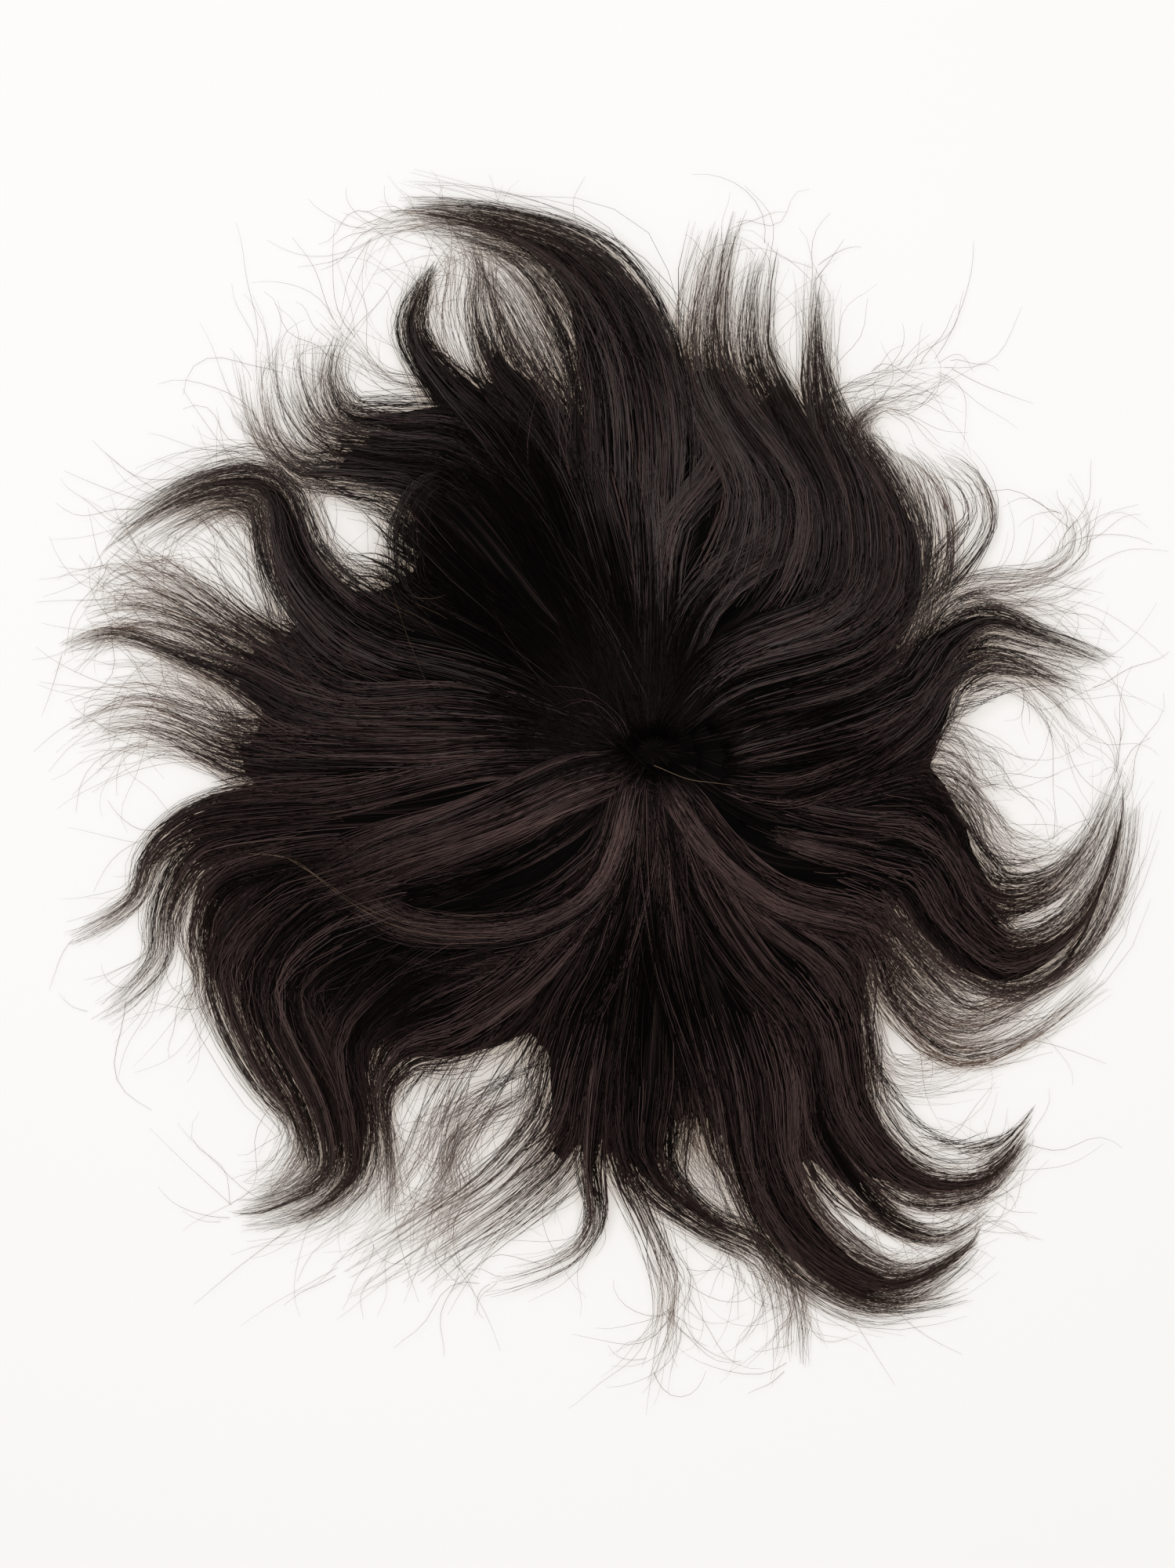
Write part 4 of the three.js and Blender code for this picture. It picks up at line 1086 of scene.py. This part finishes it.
def strand_material(hair):
    """Hair whose tone differs by strand, lighter at the tip: its own brown and painted light through the tip.
    """
    material, shader = new_material("hair_strand")
    on_map = add_node(material, "ShaderNodeUVMap", uv_map=STRAND_MAP)
    split = add_node(material, "ShaderNodeSeparateXYZ", {"Vector": on_map.outputs["UV"]})
    tone = add_node(material, "ShaderNodeValToRGB", {"Fac": split.outputs["X"]})
    colours = {"dark": hair.dark_tone, "brown": hair.brown_tone, "pale": hair.pale_tone}
    stops = []
    for half, light in enumerate((hair.grey_tone, hair.red_tone)):
        colours["light"] = light
        for place, colour, strength in STRAND_SHADES:
            stops.append(((half + place) / 2, np.array(colours[colour]) * strength))
    set_ramp(tone, stops)
    tipward = add_node(material, "ShaderNodeMapRange", {"Value": split.outputs["Y"]})
    set_inputs(tipward, **TIP_FADE)
    mix = add_node(material, "ShaderNodeMix", data_type="RGBA")
    set_inputs(mix, B=(*hair.brown_tone, 1))
    material.node_tree.links.new(tipward.outputs["Result"], mix.inputs["Factor"])
    material.node_tree.links.new(tone.outputs["Color"], mix.inputs["A"])
    material.node_tree.links.new(mix.outputs["Result"], shader.inputs["Base Color"])
    set_inputs(shader, Roughness=hair.roughness, Specular_IOR_Level=hair.gloss)
    set_inputs(shader, Specular_Tint=(*hair.shine_tone, 1))
    return material


def bed_material(hair):
    """Dense hair seen between the strands: near black, its own tones darkened as painted shade, streaked
    along its flow.
    """
    material, shader = new_material("hair_bed")
    on_map = add_node(material, "ShaderNodeUVMap", uv_map=STRAND_MAP)
    stretch = add_node(material, "ShaderNodeMapping", {"Vector": on_map.outputs["UV"]})
    set_inputs(stretch, Scale=BED_STREAKS)
    noise = add_node(material, "ShaderNodeTexNoise", {"Vector": stretch.outputs["Vector"]})
    set_inputs(noise, Scale=1, Detail=BED_DETAIL)
    tone = add_node(material, "ShaderNodeValToRGB", {"Fac": noise.outputs["Fac"]})
    colours = {"dark": hair.dark_tone, "light": hair.red_tone}
    set_ramp(tone, [(place, np.array(colours[name]) * strength) for place, name, strength in BED_SHADES])
    material.node_tree.links.new(tone.outputs["Color"], shader.inputs["Base Color"])
    set_inputs(shader, Roughness=BED_ROUGHNESS, Specular_IOR_Level=hair.gloss * BED_GLOSS)
    return material


def net_material(base):
    """A fine knotted net: threads both ways over a thin film."""
    material, shader = new_material("base_net")
    places = add_node(material, "ShaderNodeTexCoord")
    both = add_node(material, "ShaderNodeMath", operation="MAXIMUM")
    for socket, direction in zip(both.inputs, ("X", "Y")):
        wave = add_node(material, "ShaderNodeTexWave", {"Vector": places.outputs["Object"]})
        wave.bands_direction = direction
        set_inputs(wave, Scale=WAVE_SCALE_OF_PITCH / base.net_pitch, Distortion=NET_DISTORTION)
        material.node_tree.links.new(wave.outputs["Fac"], socket)
    tone = add_node(material, "ShaderNodeValToRGB", {"Fac": both.outputs["Value"]})
    set_ramp(tone, ((NET_FILM_TO, base.film_colour), (NET_THREAD_FROM, base.thread_colour)))
    bump = add_node(material, "ShaderNodeBump", {"Height": both.outputs["Value"]})
    set_inputs(bump, Strength=NET_BUMP, Distance=NET_BUMP_HEIGHT)
    material.node_tree.links.new(tone.outputs["Color"], shader.inputs["Base Color"])
    material.node_tree.links.new(bump.outputs["Normal"], shader.inputs["Normal"])
    set_inputs(shader, Roughness=NET_ROUGHNESS, Specular_IOR_Level=NET_GLOSS)
    return material


def bearing_of(row):
    """Bearing from the whorl at which a lock leaves the dense hair, counted from the first section's edge."""
    x, y = np.array(row[LEAVE]) - WHORL
    return (math.degrees(math.atan2(y, x)) - FIRST_BEARING) % 360


def dense_locks():
    """The rows of the locks that have a dense core, in order round the whorl."""
    rows = [row for section in LOCKS.values() for row in section if row[CORE] > 0]
    return sorted(rows, key=bearing_of)


def dense_end(row):
    """The station at which the dense hair of a lock ends."""
    return LEAVE + (TIP - LEAVE) * (row[CORE] + DENSE_LONGER)


def lock_columns(guide, end):
    """Columns of the dense hair along one lock: plan places, half thicknesses, levels and the end."""
    along = np.minimum(BED_STATIONS, end)
    slim = 1 - BED_TAPER * smoothstep(TAPER_FROM, 1, along / end)
    for side, level in zip(BED_SIDES, BED_LEVELS):
        yield guide.beside(along, side * slim * DENSE_WIDTH), guide.half_thick(along), level, end


def gap_column(first, second, joined, share):
    """A column of the dense hair between two neighbouring locks, which ends in a hollow, frayed curve."""
    end = web_edge(share, joined) + WEB_FRAY * math.sin(FRAY_TURNS * (joined + share)) - EDGE_BACK
    along = np.minimum(BED_STATIONS, end)
    near, far = first.beside(along, DENSE_WIDTH), second.beside(along, -DENSE_WIDTH)
    half_thick = (first.half_thick(along) + second.half_thick(along)) / 2
    return near + (far - near) * share, half_thick, GAP_LEVEL, end


def bed_columns(section):
    """All columns of a section's dense hair, from the middle of the gap before it to that after it."""
    locks = dense_locks()
    guides = [lock_guide(row) for row in locks]
    columns = []
    for index, row in enumerate(locks):
        if row not in LOCKS[section]:
            continue
        before, guide, after = guides[index - 1], guides[index], guides[(index + 1) % len(locks)]
        joined_before, joined = locks[index - 1][JOINED], row[JOINED]
        shares = SHARES_BEFORE if columns else (MIDDLE_SHARE, *SHARES_BEFORE)
        columns.extend(gap_column(before, guide, joined_before, share) for share in shares)
        columns.extend(lock_columns(guide, max(dense_end(row), joined_before, joined) - EDGE_BACK))
        columns.extend(gap_column(guide, after, joined, share) for share in SHARES_AFTER)
    return columns


def bed_heights(places, half_thick, level, end):
    """Heights of a bed's top and underside, which are thin at the ends of its columns."""
    along = np.minimum(BED_STATIONS, end[:, None])
    top = rest_on_drape(places, half_thick, level[:, None])
    depth = BED_DEEP + (SLIM_DEPTH * half_thick - BED_DEEP) * smoothstep(*SLIM_SPAN, along)
    depth *= 1 - END_THIN * smoothstep(end[:, None] - END_LONG, end[:, None], along)
    under = np.maximum(np.maximum(mould_height(places), LEAST_LIFT), top - depth)
    return np.maximum(top, under + BED_LEAST), under


def bed_shape(columns):
    """A closed bmesh sheet through columns that end at their own stations, with its map along the flow."""
    places, half_thick, level, end = (np.array(values) for values in zip(*columns))
    top, under = bed_heights(places, half_thick, level, end)
    steps = np.array(top.shape) - 1
    shape = bmesh.new()
    lower_height = shape.verts.layers.float.new("under")
    on_map = shape.loops.layers.uv.new(STRAND_MAP)
    bmesh.ops.create_grid(shape, x_segments=int(steps[0]), y_segments=int(steps[1]), size=1)
    cells = {}
    for vertex in shape.verts:
        part = (np.array(vertex.co[:2]) + 1) / 2
        cells[vertex] = tuple(np.round(part * steps).astype(int))
    past_end = []
    for face in shape.faces:
        corners = np.array([cells[vertex] for vertex in face.verts])
        if BED_STATIONS[corners[:, 1]].min() > end[corners[:, 0]].min() + WEB_FILLET:
            past_end.append(face)
        for loop in face.loops:
            loop[on_map].uv = cells[loop.vert] / steps
    for vertex, cell in cells.items():
        vertex.co = to_row(np.array((*places[cell], top[cell])))
        vertex[lower_height] = under[cell] * MM
    bmesh.ops.delete(shape, geom=past_end, context="FACES")
    bmesh.ops.remove_doubles(shape, verts=shape.verts, dist=BED_MERGE)
    made = bmesh.ops.extrude_face_region(shape, geom=list(shape.faces))["geom"]
    for item in made:
        if isinstance(item, bmesh.types.BMVert):
            item.co.z = item[lower_height]
    shape.verts.layers.float.remove(lower_height)
    bmesh.ops.recalc_face_normals(shape, faces=shape.faces)
    return shape


def spun(outline, turns):
    """A closed bmesh from an outline of places out and up, spun all round."""
    shape = bmesh.new()
    profile = [shape.verts.new((out, 0, up)) for out, up in outline]
    edges = [shape.edges.new(pair) for pair in zip(profile, profile[1:])]
    bmesh.ops.spin(
        shape, geom=[*profile, *edges], axis=(0, 0, 1), cent=(0, 0, 0), angle=2 * math.pi,
        steps=turns, use_merge=True,
    )
    bmesh.ops.remove_doubles(shape, verts=shape.verts, dist=SPIN_MERGE)
    return shape


def crown_shape():
    """A closed bmesh disc of dense hair over the middle of the base, round the whorl."""
    outs = np.linspace(0, CROWN_RADIUS, CROWN_RINGS)
    shape = spun([*((out, 1) for out in outs), *((out, 0) for out in outs[::-1])], CROWN_TURNS)
    on_map = shape.loops.layers.uv.new(STRAND_MAP)
    for face in shape.faces:
        for loop in face.loops:
            x, y, _ = loop.vert.co
            loop[on_map].uv = math.atan2(y, x) / (2 * math.pi) + 0.5, math.hypot(x, y) / CROWN_RADIUS
    for vertex in shape.verts:
        place = WHORL + np.array(vertex.co[:2])
        height = crown_height(place) if vertex.co.z > 0.5 else mould_height(place)
        vertex.co = to_row(np.array((*place, height)))
    bmesh.ops.recalc_face_normals(shape, faces=shape.faces)
    return shape


def base_shape():
    """A closed bmesh of the thin oval dome, open underneath."""
    outs = np.sin(np.linspace(0, math.pi / 2, BASE_RINGS + 1))
    inner_radius, inner_height = BASE_WIDTH / 2 - BASE_WALL, BASE_HEIGHT - BASE_WALL
    inside = [(out * inner_radius, dome_height(out, inner_height)) for out in outs]
    outside = [(out * BASE_WIDTH / 2, dome_height(out, BASE_HEIGHT)) for out in outs]
    shape = spun([*inside, *outside[::-1]], BASE_TURNS)
    bmesh.ops.scale(shape, verts=shape.verts, vec=(MM, MM * BASE_LENGTH / BASE_WIDTH, MM))
    bmesh.ops.translate(shape, verts=shape.verts, vec=to_row(np.array((*BASE_CENTRE, 0.0))))
    bmesh.ops.recalc_face_normals(shape, faces=shape.faces)
    return shape


def lock_batches(section, hair, seed):
    """Batches of the hairs of a section's locks and wisps."""
    rng = np.random.default_rng(seed)
    batches = []
    for row in LOCKS[section]:
        guide = lock_guide(row)
        count = STRANDS_LEAST + STRANDS_PER_MM * 2 * guide.half_widths[LEAVE]
        count = round(count * row[THICK] / TYPICAL_THICK)
        batches.append(lock_strands(rng, guide, count, hair.strand_width / MM, dense_end(row)))
    for row in WISPS[section]:
        batches.append(wisp_strands(rng, wisp_guide(row), row[-1], hair.wisp_width / MM))
    return batches


def web_batches(rng, rows, guides, hair):
    """Batches of the hairs between neighbouring locks, listed by section."""
    leaves = np.array([guide.place(LEAVE) for guide in guides])
    gaps = np.linalg.norm(leaves - np.roll(leaves, -1, axis=0), axis=1) + GAP_LEAST
    counts = np.round(hair.body_count * gaps / gaps.sum()).astype(int)
    width = hair.strand_width / MM
    batches = {section: [] for section in LOCKS}
    for index, (row, count) in enumerate(zip(rows, counts)):
        following = (index + 1) % len(rows)
        pair = guides[index], guides[following]
        joined = row[JOINED]
        fill = round(count * (FILL_LEAST + FILL_MORE * (joined - LEAVE)))
        gap = np.linalg.norm(np.subtract(*(guide.place(joined) for guide in pair)))
        ends = dense_end(row), joined, dense_end(rows[following])
        section = next(name for name, locks in LOCKS.items() if row in locks)
        batches[section].append(body_strands(rng, *pair, count, width, LEAVE))
        batches[section].append(body_strands(rng, *pair, fill, width, joined))
        batches[section].append(edge_strands(rng, *pair, round(EDGE_PER_MM * gap), width, ends))
    return batches


def length_of(name, description, default):
    """A setting for a length, in metres."""
    return FloatProperty(name=name, description=description, default=default, unit="LENGTH")


def colour_of(name, description, default):
    """A setting for a colour."""
    return FloatVectorProperty(name=name, description=description, default=default, subtype="COLOR")


def part_of(name, description, default):
    """A setting for a part from 0 to 1."""
    return FloatProperty(name=name, description=description, default=default, min=0, max=1, subtype="FACTOR")


class BaseSettings(PropertyGroup):
    """The sizes and colours of the net base."""

    net_pitch: length_of("Net Pitch", "Distance between the threads of the net", 0.0012)
    thread_colour: colour_of("Thread", "Colour of the net's threads", (0.02, 0.014, 0.011))
    film_colour: colour_of("Film", "Colour between the threads", (0.06, 0.042, 0.033))


class HairSettings(PropertyGroup):
    """The sizes and colours of the hair."""

    strand_width: length_of("Strand Width", "Thickness of a hair in a lock", 0.00025)
    sheet_width: length_of("Sheet Width", "Thickness of a hair in a sheet", 0.00026)
    wisp_width: length_of("Wisp Width", "Thickness of a hair in a thin wisp", 0.00017)
    stray_width: length_of("Stray Width", "Thickness of a single stray hair", 0.00015)
    stray_count: IntProperty(name="Stray Hairs", description="Number of single stray hairs", default=1000)
    body_count: IntProperty(name="Body Hairs", description="Number of hairs between the locks", default=700)
    dark_tone: colour_of("Dark Tone", "Colour of most hairs", (0.0045, 0.0036, 0.0034))
    grey_tone: colour_of("Grey Tone", "Colour of the lighter hairs to the front", (0.05, 0.041, 0.039))
    red_tone: colour_of("Red Tone", "Colour of the lighter hairs to the back", (0.06, 0.038, 0.035))
    # Brown of thin hairs: partly the hair's own colour, partly painted light shining through it.
    brown_tone: colour_of("Brown Tone", "Colour of thin single hairs", (0.2, 0.122, 0.08))
    pale_tone: colour_of("Pale Tone", "Colour of the few pale hairs", (0.35, 0.24, 0.16))
    shine_tone: colour_of("Shine Tone", "Colour of the highlights", (1.0, 0.72, 0.66))
    roughness: part_of("Roughness", "How dull the hairs are", 0.4)
    gloss: part_of("Gloss", "How much the hairs reflect", 0.12)


class StageSettings(PropertyGroup):
    """The floor, the light and the camera."""

    floor_colour: colour_of("Floor", "Colour of the floor", (0.7, 0.775, 0.84))
    # Painted light: the floor glows warm of itself, though it is no lamp, so that its shadows turn beige.
    painted_glow_colour: colour_of("Glow Colour", "Colour of the floor's own light", (1.0, 0.78, 0.58))
    painted_floor_glow: FloatProperty(
        name="Floor Glow", description="Light of the floor itself, as of a light table", default=0.36
    )
    sky_strength: FloatProperty(name="Sky", description="Strength of the light from all round", default=0.2)
    lamp_power: FloatProperty(
        name="Lamp", description="Power of the soft lamp overhead", default=36.0, unit="POWER"
    )
    camera_height: length_of("Camera Height", "Height of the camera over the floor", 3.0)


class HAIRSYSTEM_OT_base_cap(Operator):
    """Make the thin domed net base that carries the hair"""

    bl_idname = "hairsystem.base_cap"
    bl_label = "Net Base"

    def execute(self, context):
        """Shape the dome and set it in the place of its solid."""
        piece = bmesh_piece("base_net", base_shape(), net_material(context.scene.hairsystem_base))
        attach(piece, "root")
        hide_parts("base_cap")
        return {"FINISHED"}


class HAIRSYSTEM_OT_hair_beds(Operator):
    """Make the dense hair over the base, in a crown and five sections, with the cores of the locks"""

    bl_idname = "hairsystem.hair_beds"
    bl_label = "Dense Hair"

    def execute(self, context):
        """Lay the crown and each section's bed over the base."""
        material = bed_material(context.scene.hairsystem_hair)
        place_hair(bmesh_piece("hair_crown_bed", crown_shape(), material), "hair_crown")
        for section in LOCKS:
            shape = bed_shape(bed_columns(section))
            place_hair(bmesh_piece(section + "_bed", shape, material), section)
        return {"FINISHED"}


class HAIRSYSTEM_OT_lock_strands(Operator):
    """Make the hairs of the locks and of the thin wisps, a piece for each section"""

    bl_idname = "hairsystem.lock_strands"
    bl_label = "Locks"

    def execute(self, context):
        """Strew each lock and wisp with hairs along its guide."""
        hair = context.scene.hairsystem_hair
        material = strand_material(hair)
        for seed, section in enumerate(LOCKS, LOCK_SEED):
            batches = lock_batches(section, hair, seed)
            place_hair(strand_piece(section + "_strands", batches, material), section)
        return {"FINISHED"}


class HAIRSYSTEM_OT_body_strands(Operator):
    """Make the hairs that flow from the whorl over the base, and the single stray hairs"""

    bl_idname = "hairsystem.body_strands"
    bl_label = "Crown And Strays"

    def execute(self, context):
        """Fill the space between neighbouring locks, lay the sheets, then add the strays."""
        hair = context.scene.hairsystem_hair
        material = bpy.data.materials["hair_strand"]
        rng = np.random.default_rng(BODY_SEED)
        rows = dense_locks()
        guides = [lock_guide(row) for row in rows]
        for section, batches in web_batches(rng, rows, guides, hair).items():
            batches.extend(sheet_strands(rng, rooted(row), hair.sheet_width / MM) for row in SHEETS[section])
            place_hair(strand_piece(section + "_flow", batches, material), section)
        crossing = [sheet_strands(rng, row, hair.wisp_width / MM, CROSSING_PAINTED_LIGHT) for row in CROSSING]
        place_hair(strand_piece("hair_crown_strands", crossing, material), "hair_crown")
        guides += [wisp_guide(row) for section in WISPS.values() for row in section]
        strays = stray_strands(rng, guides, hair.stray_count, hair.stray_width / MM)
        piece = strand_piece("hair_strays", [strays], material)
        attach(piece, "root")
        return {"FINISHED"}


class HAIRSYSTEM_OT_stage(Operator):
    """Make the floor, the soft light and the camera straight overhead"""

    bl_idname = "hairsystem.stage"
    bl_label = "Stage"

    FRAME_MIDDLE = (-3.6, 2.4)
    FRAME_LONG_SIDE = 0.6
    SENSOR_WIDTH = 36
    FLOOR_SIZE = 6.0
    FLOOR_ROUGHNESS, FLOOR_GLOSS = 0.9, 0.1
    LAMP_PLACE = (-0.1, 0.25, 2.0)
    LAMP_SIZE = 2.2

    def execute(self, context):
        """Set up the floor, the world, the lamp and the camera."""
        stage = context.scene.hairsystem_stage
        self.make_floor(stage)
        self.make_light(context, stage)
        self.make_camera(context, stage)
        context.scene.view_settings.view_transform = "Standard"
        return {"FINISHED"}

    def make_floor(self, stage):
        """A plain pale floor, with a painted warm glow that lightens its shadows and tints them beige."""
        material, shader = new_material("floor")
        set_inputs(shader, Base_Color=(*stage.floor_colour, 1), Emission_Color=(*stage.painted_glow_colour, 1))
        set_inputs(shader, Emission_Strength=stage.painted_floor_glow)
        set_inputs(shader, Roughness=self.FLOOR_ROUGHNESS, Specular_IOR_Level=self.FLOOR_GLOSS)
        shape = bmesh.new()
        bmesh.ops.create_grid(shape, x_segments=1, y_segments=1, size=self.FLOOR_SIZE / 2)
        bmesh_piece("floor", shape, material, smooth=False)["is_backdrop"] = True

    def make_light(self, context, stage):
        """Even light from all round, and one soft lamp overhead."""
        world = bpy.data.worlds.new("studio")
        world.use_nodes = True
        set_inputs(world.node_tree.nodes["Background"], Color=(1, 1, 1, 1), Strength=stage.sky_strength)
        context.scene.world = world
        light = bpy.data.lights.new("soft_lamp", "AREA")
        light.shape = "DISK"
        light.size = self.LAMP_SIZE
        light.energy = stage.lamp_power
        lamp = bpy.data.objects.new("soft_lamp", light)
        lamp.location = self.LAMP_PLACE
        lamp.rotation_euler = (-lamp.location).to_track_quat("-Z", "Y").to_euler()
        lamp.visible_camera = False
        context.scene.collection.objects.link(lamp)

    def make_camera(self, context, stage):
        """A camera that looks straight down, with the long side of its frame along Y."""
        data = bpy.data.cameras.new("overhead")
        data.sensor_width = self.SENSOR_WIDTH
        data.lens = data.sensor_width * stage.camera_height / self.FRAME_LONG_SIDE
        camera = bpy.data.objects.new("overhead", data)
        camera.location = (self.FRAME_MIDDLE[0] * MM, self.FRAME_MIDDLE[1] * MM, stage.camera_height)
        context.scene.collection.objects.link(camera)
        context.scene.camera = camera


class HAIRSYSTEM_PT_panel(Panel):
    """The hair system's settings and the steps that make it"""

    bl_idname = "HAIRSYSTEM_PT_panel"
    bl_label = "Hair System"
    bl_space_type = "VIEW_3D"
    bl_region_type = "UI"
    bl_category = "Hair System"

    def draw(self, context):
        """List the steps with the settings that each one reads."""
        scene = context.scene
        groups = (scene.hairsystem_base, scene.hairsystem_hair, scene.hairsystem_stage)
        steps = (STEPS[:1], STEPS[1:4], STEPS[4:])
        for settings, operators in zip(groups, steps):
            box = self.layout.box()
            for name in settings.__annotations__:
                box.prop(settings, name)
            for operator in operators:
                box.operator(operator.bl_idname)


STEPS = (
    HAIRSYSTEM_OT_base_cap,
    HAIRSYSTEM_OT_hair_beds,
    HAIRSYSTEM_OT_lock_strands,
    HAIRSYSTEM_OT_body_strands,
    HAIRSYSTEM_OT_stage,
)
SETTINGS = {
    "hairsystem_base": BaseSettings,
    "hairsystem_hair": HairSettings,
    "hairsystem_stage": StageSettings,
}


def register():
    """Registers the settings, the operators and the panel."""
    for made in (*SETTINGS.values(), *STEPS, HAIRSYSTEM_PT_panel):
        bpy.utils.register_class(made)
    for name, group in SETTINGS.items():
        setattr(bpy.types.Scene, name, PointerProperty(type=group))


def unregister():
    """Takes back all that register added."""
    for name in SETTINGS:
        delattr(bpy.types.Scene, name)
    for made in (HAIRSYSTEM_PT_panel, *STEPS[::-1], *SETTINGS.values()):
        bpy.utils.unregister_class(made)


def main():
    """Makes the whole scene and works out the sizes of the part before and after."""
    register()
    bpy.ops.hairsystem.base_cap()
    bpy.ops.hairsystem.hair_beds()
    bpy.ops.hairsystem.lock_strands()
    bpy.ops.hairsystem.body_strands()
    bpy.ops.hairsystem.stage()
    boxes = {"cad": CAD_BOX, "visual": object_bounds()}
    {name: [list(corner) for corner in box] for name, box in boxes.items()}


if __name__ == "__main__":
    main()
